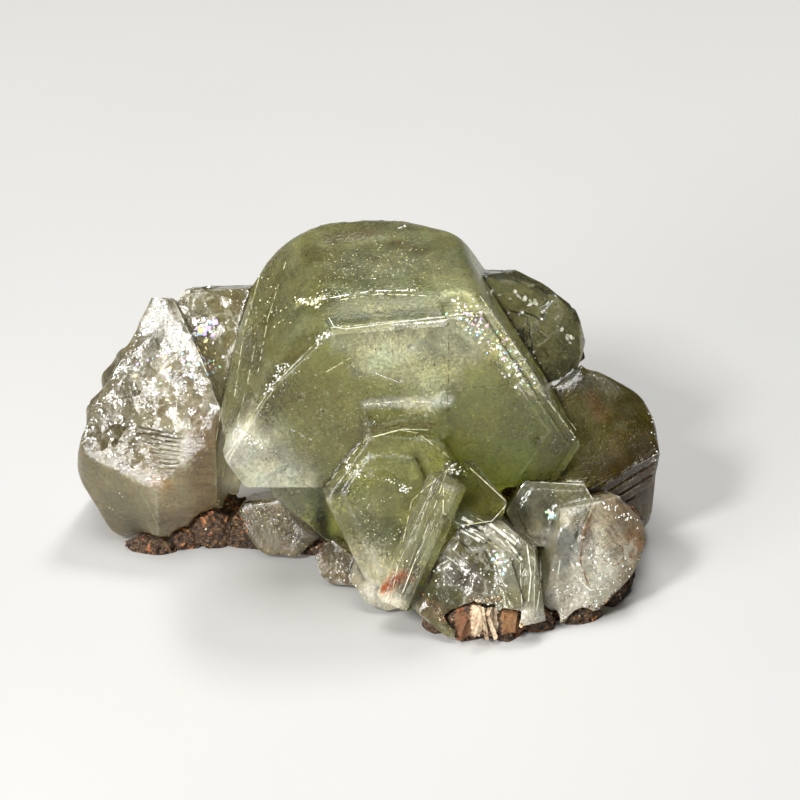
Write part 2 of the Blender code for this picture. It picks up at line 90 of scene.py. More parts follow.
@dataclass(frozen=True)
class Sight:
    """The photograph's camera, which also finds the surface that lies under a point of the picture."""

    aim: tuple[float, float, float] = (3.4, 0.0, 21.2)
    elevation: float = 30.0
    distance: float = 373.0
    lens: float = 150.0
    sensor: float = 36.0
    frame_side: int = 800

    def back(self) -> Vector:
        """Unit vector from the group to the camera."""
        return direction(0.0, self.elevation)

    def eye(self) -> Vector:
        """Where the camera stands, in metres."""
        return (Vector(self.aim) + self.back() * self.distance) * MM

    def ray(self, x: float, y: float) -> Vector:
        """Unit vector from the eye through a point of the picture.

        Args:
            x: Pixels from the picture's left side.
            y: Pixels from its top.

        Returns:
            The unit vector.
        """
        half = self.frame_side / 2
        scale = self.sensor / self.lens / self.frame_side
        right = Vector((1, 0, 0))
        up = self.back().cross(right)
        return (right * (x - half) * scale - up * (y - half) * scale - self.back()).normalized()

    def pixel(self, place: Vector) -> tuple[float, float]:
        """The point of the picture on which a place in metres falls.

        Args:
            place: The place.

        Returns:
            Pixels from the picture's left side and from its top.
        """
        right = Vector((1, 0, 0))
        up = self.back().cross(right)
        reach = place - self.eye()
        scale = self.lens * self.frame_side / self.sensor / -reach.dot(self.back())
        half = self.frame_side / 2
        return half + reach.dot(right) * scale, half - reach.dot(up) * scale

    def make_camera(self) -> bpy.types.Object:
        """Put the camera in the scene.

        Returns:
            The camera object.
        """
        data = bpy.data.cameras.new("camera")
        data.lens = self.lens
        data.sensor_width = self.sensor
        made = bpy.data.objects.new("camera", data)
        made.location = self.eye()
        made.rotation_euler = (-self.back()).to_track_quat("-Z", "Y").to_euler()
        bpy.context.scene.collection.objects.link(made)
        bpy.context.scene.camera = made
        return made


class Graph:
    """A material's nodes, added and linked one by one."""

    def __init__(self, name: str) -> None:
        """Start a material that holds a Principled shader."""
        self.material = bpy.data.materials.new(name)
        self.material.use_nodes = True
        self.tree = self.material.node_tree
        self.shader = self.tree.nodes["Principled BSDF"]
        self.output = self.tree.nodes["Material Output"]

    def add(self, kind: str, out: str | int = 0, **inputs: object) -> bpy.types.NodeSocket:
        """Add a node, and set or link its inputs.

        Args:
            kind: The node's type without its "ShaderNode" start.
            out: The output that is wanted.
            **inputs: Node settings in lower case, or sockets as i0, i1 and so on for numbered inputs.

        Returns:
            The output socket.
        """
        node = self.tree.nodes.new("ShaderNode" + kind)
        sockets = {}
        for key, value in inputs.items():
            if key[0] == "i" and key[1:].isdigit():
                sockets[int(key[1:])] = value
            elif key[0].isupper():
                sockets[key.replace("_", " ")] = value
            else:
                setattr(node, key, value)
        for key, value in sockets.items():
            if isinstance(value, bpy.types.NodeSocket):
                self.tree.links.new(value, node.inputs[key])
            else:
                node.inputs[key].default_value = value
        return node.outputs[out]

    def math(self, operation: str, a: object, b: object = 0.0, c: object = 0.0) -> bpy.types.NodeSocket:
        """A Math node.

        Args:
            operation: The node's operation.
            a: First number or socket.
            b: Second number or socket.
            c: Third number or socket.

        Returns:
            The result's socket.
        """
        return self.add("Math", operation=operation, i0=a, i1=b, i2=c)

    def spread(self, value: object, low: float, high: float, to_low: float, to_high: float) -> bpy.types.NodeSocket:
        """Stretch a range of numbers to another one, and hold it there.

        Args:
            value: The number's socket.
            low: Where the range starts.
            high: Where it ends.
            to_low: The result at its start.
            to_high: The result at its end.

        Returns:
            The result's socket.
        """
        return self.add("MapRange", i0=value, i1=low, i2=high, i3=to_low, i4=to_high)

    def mix(self, share: object, a: object, b: object, blend: str = "MIX") -> bpy.types.NodeSocket:
        """Mix two colours.

        Args:
            share: How much of the second one.
            a: First colour or socket.
            b: Second colour or socket.
            blend: The way they mix.

        Returns:
            The mixed colour's socket.
        """
        return self.add("Mix", out=2, data_type="RGBA", blend_type=blend, i0=share, i6=a, i7=b)

    def attribute(self, name: str, out: str = "Color") -> bpy.types.NodeSocket:
        """Read an attribute of the mesh."""
        return self.add("Attribute", out=out, attribute_name=name)

    def link(self, socket: bpy.types.NodeSocket, name: str) -> None:
        """Link a socket to an input of the shader."""
        self.tree.links.new(socket, self.shader.inputs[name])

    def plain(self, **values: object) -> None:
        """Set inputs of the shader to plain values."""
        for name, value in values.items():
            self.shader.inputs[name.replace("_", " ")].default_value = value


@dataclass(frozen=True)
class ApatiteFinish:
    """Apatite, frosted, broken, striated and worn at its edges where the mesh's attributes say so. Its edges are
    paled, partly as wear and partly as painted highlight, and its crevices darkened as painted shade.

    The mesh carries tint (colour and share of pale threads), relief (frost, broken and striated
    shares), lay (millimetres across, along and above the striations) and rim (millimetres from the
    nearest edge and from the nearest crevice).
    """

    name: str
    transmission: float
    absorbed: Tone = (0.62, 0.67, 0.25)
    density: float = 70.0
    ior: float = 1.63
    cell: float = 1.7
    tilt: float = 0.8
    polish: float = 0.06
    # Edges pale towards this tone, partly wear and partly painted highlight.
    wear_and_highlight_width: float = 0.34
    wear_and_highlight_tone: Tone = tone(240, 238, 218)
    # Crevices between crystals darken towards this tone: painted shade.
    crevice_shade_width: float = 0.75
    crevice_shade_tone: Tone = tone(74, 62, 34)

    def facets(self, graph: Graph, place: object, scale: float) -> object:
        """Height, in millimetres, of small planes that tilt each its own way.

        Args:
            graph: The material's nodes.
            place: Socket of the position in metres.
            scale: Planes for each metre.

        Returns:
            The height's socket.
        """
        cells = graph.add("TexVoronoi", Vector=place, Scale=scale).node
        apart = graph.add("VectorMath", operation="SUBTRACT", i0=place, i1=cells.outputs["Position"])
        lean = graph.add("VectorMath", operation="SUBTRACT", i0=cells.outputs["Color"], i1=(0.5, 0.5, 0.5))
        height = graph.add("VectorMath", out="Value", operation="DOT_PRODUCT", i0=apart, i1=lean)
        return graph.math("MULTIPLY", height, 1000.0 * self.tilt)

    def build(self) -> bpy.types.Material:
        """Make the material.

        Returns:
            The material.
        """
        g = Graph(self.name)
        place = g.add("TexCoord", out="Object")
        relief = g.add("SeparateColor", i0=g.attribute("relief")).node.outputs
        frost, broken, striated = relief[0], relief[1], relief[2]
        rim = g.add("SeparateXYZ", i0=g.attribute("rim", out="Vector")).node.outputs

        warp = g.add("TexNoise", Vector=place, Scale=330.0, Detail=2.0).node
        shift = g.add("VectorMath", operation="SCALE", i0=warp.outputs["Color"], Scale=0.0016)
        moved = g.add("VectorMath", operation="ADD", i0=place, i1=shift)
        cloud = g.add("TexNoise", Vector=moved, Scale=240.0, Detail=3.0, Roughness=0.62)
        speck = g.add("TexNoise", Vector=place, Scale=2600.0, Detail=2.0, Roughness=0.7)
        hue = g.mix(g.spread(warp.outputs[0], 0.36, 0.64, 0.0, 1.0), (1.05, 1.0, 0.92, 1.0), (0.97, 1.01, 1.03, 1.0))
        tint = g.mix(1.0, g.attribute("tint"), hue, "MULTIPLY")
        tint = g.mix(1.0, tint, g.spread(cloud, 0.32, 0.70, 0.62, 1.38), "MULTIPLY")
        tint = g.mix(1.0, tint, g.spread(speck, 0.3, 0.75, 0.66, 1.36), "MULTIPLY")
        stretched = g.add("VectorMath", operation="MULTIPLY", i0=g.attribute("lay", out="Vector"), i1=(2.6, 0.09, 0.4))
        lines = g.add("TexNoise", Vector=stretched, Scale=1.0, Detail=3.0, Roughness=0.62)
        streak = g.mix(g.math("MULTIPLY", striated, 0.9), (1.0, 1.0, 1.0, 1.0), g.spread(lines, 0.3, 0.7, 0.62, 1.4))
        tint = g.mix(1.0, tint, streak, "MULTIPLY")
        uneven = g.spread(speck, 0.35, 0.65, 0.2, 1.6)
        # Pale edges: partly wear, partly painted highlight.
        width = g.math("MULTIPLY", uneven, g.spread(cloud, 0.42, 0.6, 0.0, self.wear_and_highlight_width))
        tint = g.mix(g.spread(rim[0], 0.0, width, 0.8, 0.0), tint, (*self.wear_and_highlight_tone, 1.0))
        # Dark brown in the crevices between crystals: painted shade.
        gap = g.spread(rim[1], 0.0, g.math("MULTIPLY", uneven, self.crevice_shade_width), 0.85, 0.0)
        g.link(g.mix(gap, tint, (*self.crevice_shade_tone, 1.0)), "Base Color")

        rough = g.math("MULTIPLY_ADD", frost, 0.40, self.polish)
        rough = g.math("ADD", rough, g.spread(cloud, 0.3, 0.7, -0.06, 0.10))
        g.link(g.math("MULTIPLY_ADD", broken, -0.08, rough), "Roughness")

        chips = g.math("MULTIPLY", self.facets(g, place, 2600.0 / self.cell), 0.45)
        if self.tilt > 0.5:
            chips = g.math("ADD", chips, self.facets(g, moved, 1000.0 / self.cell))
        height = g.math("MULTIPLY", chips, broken)
        height = g.math("MULTIPLY_ADD", g.math("MULTIPLY", speck, frost), 0.2, height)
        height = g.math("MULTIPLY_ADD", warp.outputs[0], 0.04, height)
        height = g.math("MULTIPLY_ADD", g.math("MULTIPLY", lines, striated), 0.16, height)
        g.link(g.add("Bump", Height=height, Strength=1.0, Distance=MM), "Normal")

        g.plain(Transmission_Weight=self.transmission, IOR=self.ior)
        g.tree.links.new(
            g.add("VolumeAbsorption", Color=(*self.absorbed, 1.0), Density=self.density),
            g.output.inputs["Volume"],
        )
        return g.material


GREEN = ApatiteFinish("apatite_green", 0.88, tilt=0.5)
CLEAR = ApatiteFinish("apatite_clear", 0.90, (0.78, 0.80, 0.54), 55.0, cell=1.3, tilt=0.55, polish=0.09)
SMOKY = ApatiteFinish("apatite_smoky", 0.86, (0.80, 0.76, 0.64), 60.0, cell=1.3, tilt=0.55, polish=0.10)
HAZY = ApatiteFinish("apatite_hazy", 0.70, (0.78, 0.78, 0.58), 60.0, cell=1.4, tilt=0.6, polish=0.12)
FIBROUS = ApatiteFinish("apatite_fibrous", 0.6, (0.62, 0.52, 0.30), 70.0, tilt=0.5, polish=0.36)
MILKY = ApatiteFinish("apatite_milky", 0.55, (0.80, 0.82, 0.62), 60.0, tilt=0.5, polish=0.2)


@dataclass(frozen=True)
class Zone:
    """One crystal of the group: where its solid lies, and how it looks.

    The middle and half sizes are across its end face, level and climbing, from the seat point.
    """

    seat: tuple[float, float, float]
    azimuth: float
    elevation: float
    length: float
    middle: tuple[float, float]
    half: tuple[float, float]
    tint: Tone
    cloud: float = 0.0
    frost: float = 0.35
    broken: float = 0.0
    striated: float = 0.25
    finish: ApatiteFinish = GREEN
    sides: tuple[tuple[float, float, float], ...] = ()
    ridge_turn: float = 30.0

    @cached_property
    def axes(self) -> tuple[Vector, Vector, Vector]:
        """The level direction, the climbing direction and the c axis."""
        axis = direction(self.azimuth, self.elevation)
        level = Vector((0, 0, 1)).cross(axis).normalized()
        return level, axis.cross(level), axis

    def carries(self, point: Vector, out: Vector) -> bool:
        """Whether a facet lies in one of the crystal's sides.

        Args:
            point: The facet's middle, in millimetres.
            out: The direction that it faces.

        Returns:
            True if it does.
        """
        level, climb, axis = self.axes
        for turn, lean, distance in self.sides:
            t, n = math.radians(turn), math.radians(lean)
            side = axis * math.cos(n) + (level * math.cos(t) + climb * math.sin(t)) * math.sin(n)
            if side.dot(out) > 0.997 and abs((point - Vector(self.seat)).dot(side) - distance) < 0.3:
                return True
        return False

    def misfit(self, point: Vector) -> float:
        """How far a point, in millimetres, lies outside the crystal's box, as a share of its size.

        Args:
            point: The point.

        Returns:
            Under 1 inside the box.
        """
        level, climb, axis = self.axes
        reach = point - Vector(self.seat)
        return max(
            (abs(reach.dot(level) - self.middle[0]) - 0.3) / self.half[0],
            (abs(reach.dot(climb) - self.middle[1]) - 0.3) / self.half[1],
            (abs(reach.dot(axis) + self.length / 2) - 0.9) / (self.length / 2),
        )


def prism(*distances: float) -> tuple[tuple[float, float, float], ...]:
    """Sides of a six-sided prism, 60 degrees apart.

    Args:
        *distances: Millimetres from the seat to each side.

    Returns:
        Turn round the c axis, lean from it and distance of each side.
    """
    return tuple((30.0 + 60.0 * i, 90.0, distance) for i, distance in enumerate(distances))


MAIN_SIDES = prism(17.0, 17.0, 17.9, 16.7, 17.1, 18.0) + (
    (134, 90, 17.55),
    (184, 114, 21.7),
    (177, 122, 23.8),
    (124, 123, 28.5),
    (92, 135, 29.75),
    (60, 125, 27.8),
    (20, 128, 26.8),
    (225, 120, 24.0),
    (315, 116, 24.0),
)


class Growth(Enum):
    """The crystals, small ones first, because a facet belongs to the first one that holds it."""

    LATH = Zone((8.6, -11.2, 17.5), 118, 65, 15.5, (0.5, -0.3), (2.4, 2.2), tone(226, 222, 160), 0.3, 0.3, 0.1, 0.9)
    BESIDE_FRONT = Zone((11.9, -10.0, 14.6), 20, 35, 9.5, (-0.6, 0.7), (4.0, 3.6), tone(158, 152, 72), 0.1, 0.45)
    WHITE_FOOT = Zone((0.9, -10.6, 3.2), 0, 20, 6.0, (0.0, 0.1), (3.2, 2.8), tone(206, 196, 160), 0.5, 0.5, 0.3, finish=HAZY)
    PALE_FOOT = Zone((-3.6, -5.5, 2.1), -10, 25, 6.5, (0.5, 0.0), (3.3, 3.3), tone(156, 140, 104), 0.4, 0.4, 0.35, finish=HAZY)
    PALE_LEFT = Zone((-10.9, 1.0, 4.1), -10, 20, 7.0, (0.4, -0.3), (5.1, 4.2), tone(176, 158, 118), 0.35, 0.4, 0.25, finish=SMOKY)
    CLEAR_RIGHT = Zone((20.2, -6.0, 9.8), 0, 30, 9.0, (0.2, 0.1), (5.1, 3.7), tone(174, 169, 136), 0.3, 0.25, 0.08, finish=HAZY)
    FRONT = Zone((2.3, -9.0, 12.3), 0, 15, 9.0, (1.2, -0.6), (8.8, 9.5), tone(222, 218, 140), 0.35, 0.5, 0.1)
    LOWER_FRONT = Zone((12.0, -14.0, 6.6), -5, 30, 11.0, (-0.2, -0.1), (7.9, 7.0), tone(158, 152, 112), 0.6, 0.25, 0.45, finish=HAZY)
    PALE_RIGHT = Zone((25.3, -10.5, 6.7), 15, 25, 14.0, (-0.6, 0.0), (7.0, 6.8), tone(234, 226, 202), 0.6, 0.4, 0.6, finish=HAZY)
    WEDGE = Zone((-17.8, 12.0, 23.5), -5, 25, 10.0, (-0.8, -3.4), (4.8, 8.4), tone(150, 143, 106), 0.4, 0.25, 0.6, finish=SMOKY)
    DARK_BACK = Zone((20.1, 15.0, 26.5), 25, 25, 12.0, (-2.0, -3.4), (5.7, 6.9), tone(128, 124, 88), 0.1, 0.25, 0.45, finish=CLEAR)
    CLEAR_BACK = Zone((18.8, 10.0, 25.9), 25, 25, 14.0, (-2.2, -0.7), (8.4, 6.9), tone(164, 163, 122), 0.5, 0.2, 0.55, finish=CLEAR)
    OLIVE_RIGHT = Zone((26.7, 3.0, 15.3), 10, 48, 19.5, (-0.9, -4.6), (7.3, 13.0), tone(122, 102, 26), 0.05, 0.3, 0.03, 0.4)
    LEFT = Zone((-25.5, 6.5, 17.4), -12, 36, 17.0, (-0.1, -7.1), (8.9, 19.2), tone(170, 161, 132), 0.35, 0.3, 0.12, finish=SMOKY, ridge_turn=98.0)
    MAIN = Zone((3.8, -5.0, 17.2), 10, 0, 25.9, (0.1, 1.8), (20.1, 15.2), tone(214, 212, 140), 0.2, 0.5, 0.0, 0.35, sides=MAIN_SIDES)
    MAIN_ROOT = Zone((2.9, 0.4, 17.2), 10, 0, 19.0, (0.3, -2.0), (18.6, 16.0), tone(138, 130, 62), 0.1, 0.5, 0.1)

    @classmethod
    def holding(cls, point: Vector, out: Vector | None = None) -> int:
        """Number of the crystal that a facet belongs to.

        Args:
            point: The facet's middle, in millimetres.
            out: The direction that it faces, if that is known.

        Returns:
            The crystal's place in this list.
        """
        if out and cls.MAIN.value.carries(point, out):
            return list(cls).index(cls.MAIN)
        misfits = [growth.value.misfit(point) for growth in cls]
        for i, misfit in enumerate(misfits):
            if misfit <= 1.0:
                return i
        return int(np.argmin(misfits))


class Mark(Enum):
    """What a patch changes on the surface."""

    TINT = "tint"
    CLOUD = "cloud"
    FROST = "frost"
    BROKEN = "broken"
    STRIATED = "striated"
    FIBRE = "fibre"


@dataclass(frozen=True)
class Patch:
    """A soft-edged spot or streak that lies on the surface seen at one or two points of the picture."""

    mark: Mark
    start: tuple[float, float]
    width: float
    strength: float = 1.0
    colour: Tone = (1.0, 1.0, 1.0)
    end: tuple[float, float] | None = None


def tinted(start: tuple, end: tuple | None, width: float, strength: float, colour: Tone) -> Patch:
    """A patch of another colour, from one point of the picture to another."""
    return Patch(Mark.TINT, start, width, strength, colour, end)


# Patches read off the picture: mostly the crystals' own stains, haze, frost and breaks, with some painted shadow and
# shade in gaps, grooves and crevices, and painted highlight and glow on the main crystal's front.
PATCHES = [
    # Pale milky patch in the upper middle of the main crystal's front: partly haze, partly painted glow.
    tinted((404, 352), (404, 300), 8.5, 0.85, tone(230, 232, 172)),
    tinted((412, 285), (405, 240), 6.0, 0.8, tone(228, 228, 168)),
    tinted((310, 400), (395, 425), 4.6, 0.75, tone(166, 158, 92)),
    tinted((500, 432), (566, 456), 6.5, 0.85, tone(146, 144, 92)),
    tinted((250, 330), (236, 405), 3.6, 0.6, tone(186, 178, 96)),
    tinted((330, 238), (372, 232), 1.4, 0.6, tone(128, 96, 50)),
    tinted((395, 243), (418, 250), 1.1, 0.5, tone(134, 104, 58)),
    # Dark olive in the groove under the ledge, above the front crystal: painted shadow.
    tinted((366, 430), (437, 424), 1.1, 0.7, tone(112, 114, 50)),
    tinted((350, 500), (395, 470), 4.0, 0.5, tone(206, 204, 140)),
    tinted((366, 524), (398, 530), 1.6, 0.75, tone(104, 110, 54)),
    tinted((445, 517), (456, 525), 0.4, 0.9, tone(112, 70, 38)),
    tinted((590, 508), (582, 560), 0.6, 0.85, tone(140, 102, 66)),
    tinted((610, 552), (614, 554), 1.0, 0.6, tone(160, 124, 88)),
    tinted((632, 536), (640, 548), 1.0, 0.8, tone(168, 104, 56)),
    tinted((592, 398), (600, 414), 1.1, 0.7, tone(168, 112, 54)),
    tinted((608, 372), (640, 400), 2.0, 0.5, tone(128, 116, 60)),
    tinted((158, 478), (166, 484), 0.8, 0.8, tone(214, 158, 92)),
    tinted((300, 505), (312, 530), 1.6, 0.5, tone(150, 132, 98)),
    # Near-black under the main crystal's lower edge and in the gaps beside the front crystal: painted shadow.
    tinted((318, 500), (328, 552), 1.3, 1.0, tone(26, 24, 16)),
    tinted((286, 497), (344, 490), 0.8, 1.0, tone(30, 28, 18)),
    tinted((334, 552), (352, 572), 0.7, 1.0, tone(30, 28, 18)),
    tinted((240, 500), (250, 503), 0.6, 1.0, tone(34, 30, 20)),
    # Dark brown in the gap between the left crystal and the main one: partly the rusty crust seen there, partly
    # painted shade.
    tinted((217, 400), (219, 440), 0.9, 0.9, tone(60, 44, 26)),
    tinted((218, 486), (228, 492), 1.0, 0.9, tone(60, 48, 30)),
    tinted((262, 300), (330, 262), 4.0, 0.5, tone(170, 164, 100)),
    tinted((360, 262), (440, 268), 3.6, 0.6, tone(214, 212, 170)),
    tinted((455, 300), (476, 318), 1.6, 0.7, tone(110, 112, 56)),
    tinted((455, 440), (520, 470), 3.0, 0.5, tone(150, 150, 82)),
    # Darker olive along the floor of the notch near the main crystal's top: painted shade in the recess.
    tinted((335, 321), (440, 312), 1.3, 0.85, tone(116, 120, 58)),
    tinted((240, 440), (290, 486), 7.0, 0.5, tone(206, 204, 158)),
    tinted((238, 440), (282, 488), 4.6, 0.95, tone(242, 240, 208)),
    tinted((236, 436), (232, 458), 1.8, 0.8, tone(248, 246, 230)),
    tinted((290, 380), (340, 430), 4.5, 0.6, tone(138, 120, 58)),
    tinted((300, 350), (330, 380), 3.0, 0.45, tone(150, 138, 72)),
    tinted((262, 330), (250, 400), 3.0, 0.5, tone(138, 126, 70)),
    tinted((460, 410), (540, 420), 3.0, 0.5, tone(124, 122, 66)),
    tinted((470, 470), (540, 480), 2.2, 0.5, tone(116, 118, 66)),
    # Pale band along the ledge on the main crystal's front: painted highlight.
    tinted((368, 404), (448, 401), 0.8, 0.85, tone(238, 238, 208)),
    # Whitish band across the main crystal's upper front: partly haze, partly painted glow.
    tinted((380, 345), (470, 336), 3.2, 0.6, tone(232, 232, 190)),
    tinted((366, 520), (386, 560), 2.0, 0.5, tone(214, 212, 172)),
    tinted((366, 566), (398, 596), 3.4, 0.7, tone(232, 222, 190)),
    tinted((372, 590), (392, 600), 1.6, 0.9, tone(244, 234, 212)),
    tinted((326, 552), (350, 590), 2.6, 0.8, tone(136, 116, 80)),
    tinted((150, 322), (178, 320), 3.6, 0.8, tone(190, 184, 164)),
    tinted((190, 350), (196, 372), 2.0, 0.6, tone(206, 200, 180)),
    tinted((118, 404), (186, 400), 4.6, 0.7, tone(204, 196, 170)),
    tinted((104, 420), (132, 438), 1.6, 0.8, tone(104, 90, 56)),
    tinted((140, 396), (160, 408), 1.2, 0.8, tone(112, 98, 60)),
    tinted((172, 378), (182, 386), 0.9, 0.7, tone(110, 98, 66)),
    tinted((156, 430), (168, 438), 1.0, 0.7, tone(100, 82, 50)),
    tinted((92, 458), (128, 516), 4.6, 0.8, tone(142, 130, 92)),
    tinted((150, 470), (178, 500), 2.6, 0.6, tone(186, 166, 130)),
    tinted((152, 482), (168, 486), 0.8, 0.7, tone(216, 164, 104)),
    # Dark brown down the left crystal's right side: partly its brown colour, partly painted shade.
    tinted((200, 420), (206, 530), 2.0, 0.85, tone(122, 94, 60)),
    tinted((170, 520), (206, 540), 2.4, 0.7, tone(150, 118, 84)),
    tinted((112, 536), (176, 552), 1.4, 0.8, tone(206, 176, 146)),
    # Darker at the top of the gap between the left crystal and the main one: painted shade.
    tinted((215, 350), (212, 330), 1.6, 0.6, tone(90, 84, 52)),
    tinted((530, 492), (520, 520), 1.8, 0.5, tone(196, 194, 174)),
    tinted((548, 500), (552, 530), 1.1, 0.7, tone(112, 110, 90)),
    tinted((572, 492), (582, 512), 1.4, 0.6, tone(132, 134, 100)),
    tinted((540, 540), (564, 536), 1.2, 0.8, tone(226, 224, 208)),
    tinted((462, 522), (516, 540), 1.4, 0.7, tone(222, 221, 204)),
    tinted((470, 556), (492, 562), 1.8, 0.8, tone(104, 100, 58)),
    tinted((454, 572), (480, 590), 1.8, 0.7, tone(164, 156, 146)),
    tinted((506, 552), (510, 580), 1.4, 0.7, tone(206, 204, 180)),
    tinted((416, 584), (446, 606), 2.6, 0.8, tone(104, 106, 70)),
    tinted((430, 610), (470, 622), 1.4, 0.7, tone(160, 138, 106)),
    tinted((526, 560), (532, 600), 1.3, 0.6, tone(170, 170, 138)),
    tinted((506, 624), (546, 618), 1.8, 0.9, tone(236, 230, 212)),
    tinted((586, 566), (566, 606), 3.4, 0.8, tone(246, 244, 232)),
    tinted((618, 508), (642, 540), 2.8, 0.8, tone(156, 124, 82)),
    tinted((600, 512), (612, 528), 1.6, 0.5, tone(190, 178, 146)),
    tinted((636, 560), (622, 596), 1.4, 0.6, tone(176, 148, 112)),
    tinted((612, 486), (652, 470), 5.2, 0.95, tone(96, 72, 34)),
    tinted((618, 470), (640, 456), 1.6, 0.6, tone(84, 66, 28)),
    tinted((654, 470), (650, 530), 1.2, 0.6, tone(140, 102, 56)),
    tinted((383, 588), (402, 576), 1.3, 0.6, tone(206, 150, 96)),
    tinted((384, 588), (394, 581), 0.7, 1.0, tone(176, 84, 28)),
    tinted((398, 578), (404, 574), 0.5, 0.9, tone(184, 96, 36)),
    Patch(Mark.FROST, (340, 308), 1.6, 0.9, end=(440, 301)),
    Patch(Mark.FIBRE, (620, 516), 4.8, 1.2, end=(652, 490)),
    Patch(Mark.STRIATED, (612, 500), 5.4, 0.9, end=(650, 486)),
    Patch(Mark.STRIATED, (160, 452), 2.8, 1.0, end=(184, 482)),
    Patch(Mark.STRIATED, (188, 500), 2.6, 0.8, end=(200, 450)),
    Patch(Mark.BROKEN, (112, 400), 4.6, 0.75, end=(184, 392)),
    Patch(Mark.BROKEN, (100, 430), 3.0, 0.7, end=(150, 452)),
    Patch(Mark.BROKEN, (196, 330), 1.2, 0.8, end=(218, 380)),
    Patch(Mark.CLOUD, (240, 440), 6.4, 0.42, end=(286, 484)),
    Patch(Mark.CLOUD, (236, 440), 3.6, 0.62, end=(276, 486)),
    Patch(Mark.CLOUD, (370, 334), 5.6, 0.62, end=(446, 344)),
    Patch(Mark.CLOUD, (390, 360), 3.4, 0.4, end=(440, 396)),
    # Milky band along the ledge, standing in for its soft highlight: painted highlight.
    Patch(Mark.CLOUD, (368, 404), 0.9, 0.8, end=(448, 401)),
    Patch(Mark.CLOUD, (356, 560), 3.6, 0.6, end=(392, 592)),
    Patch(Mark.CLOUD, (374, 588), 1.4, 0.6, end=(392, 600)),
    Patch(Mark.CLOUD, (150, 322), 3.0, 0.6, end=(178, 330)),
    Patch(Mark.CLOUD, (590, 566), 2.6, 0.7, end=(568, 604)),
    Patch(Mark.CLOUD, (458, 296), 2.0, 0.9, end=(530, 380)),
    Patch(Mark.CLOUD, (300, 303), 0.7, 0.8, end=(322, 298)),
    Patch(Mark.BROKEN, (448, 288), 3.4, 0.55, end=(538, 392)),
    Patch(Mark.BROKEN, (238, 436), 2.6, 0.5, end=(262, 470)),
    Patch(Mark.BROKEN, (266, 392), 1.8, 0.6, end=(290, 362)),
    Patch(Mark.BROKEN, (300, 302), 1.4, 0.9, end=(424, 292)),
    Patch(Mark.BROKEN, (345, 465), 1.2, 0.7, end=(412, 490)),
    Patch(Mark.BROKEN, (440, 470), 1.0, 0.9, end=(464, 462)),
    Patch(Mark.BROKEN, (284, 490), 1.2, 0.5, end=(322, 484)),
]


def link(obj: bpy.types.Object) -> bpy.types.Object:
    """Put an object in the scene."""
    bpy.context.scene.collection.objects.link(obj)
    return obj


def to_object(bm: bmesh.types.BMesh, name: str, scale: float = 1.0) -> bpy.types.Object:
    """Turn a bmesh into an object of the scene.

    Args:
        bm: The bmesh, which is freed.
        name: The object's name.
        scale: What its lengths are multiplied by.

    Returns:
        The object.
    """
    if scale != 1.0:
        bmesh.ops.scale(bm, vec=(scale, scale, scale), verts=bm.verts)
    mesh = bpy.data.meshes.new(name)
    bm.to_mesh(mesh)
    bm.free()
    return link(bpy.data.objects.new(name, mesh))


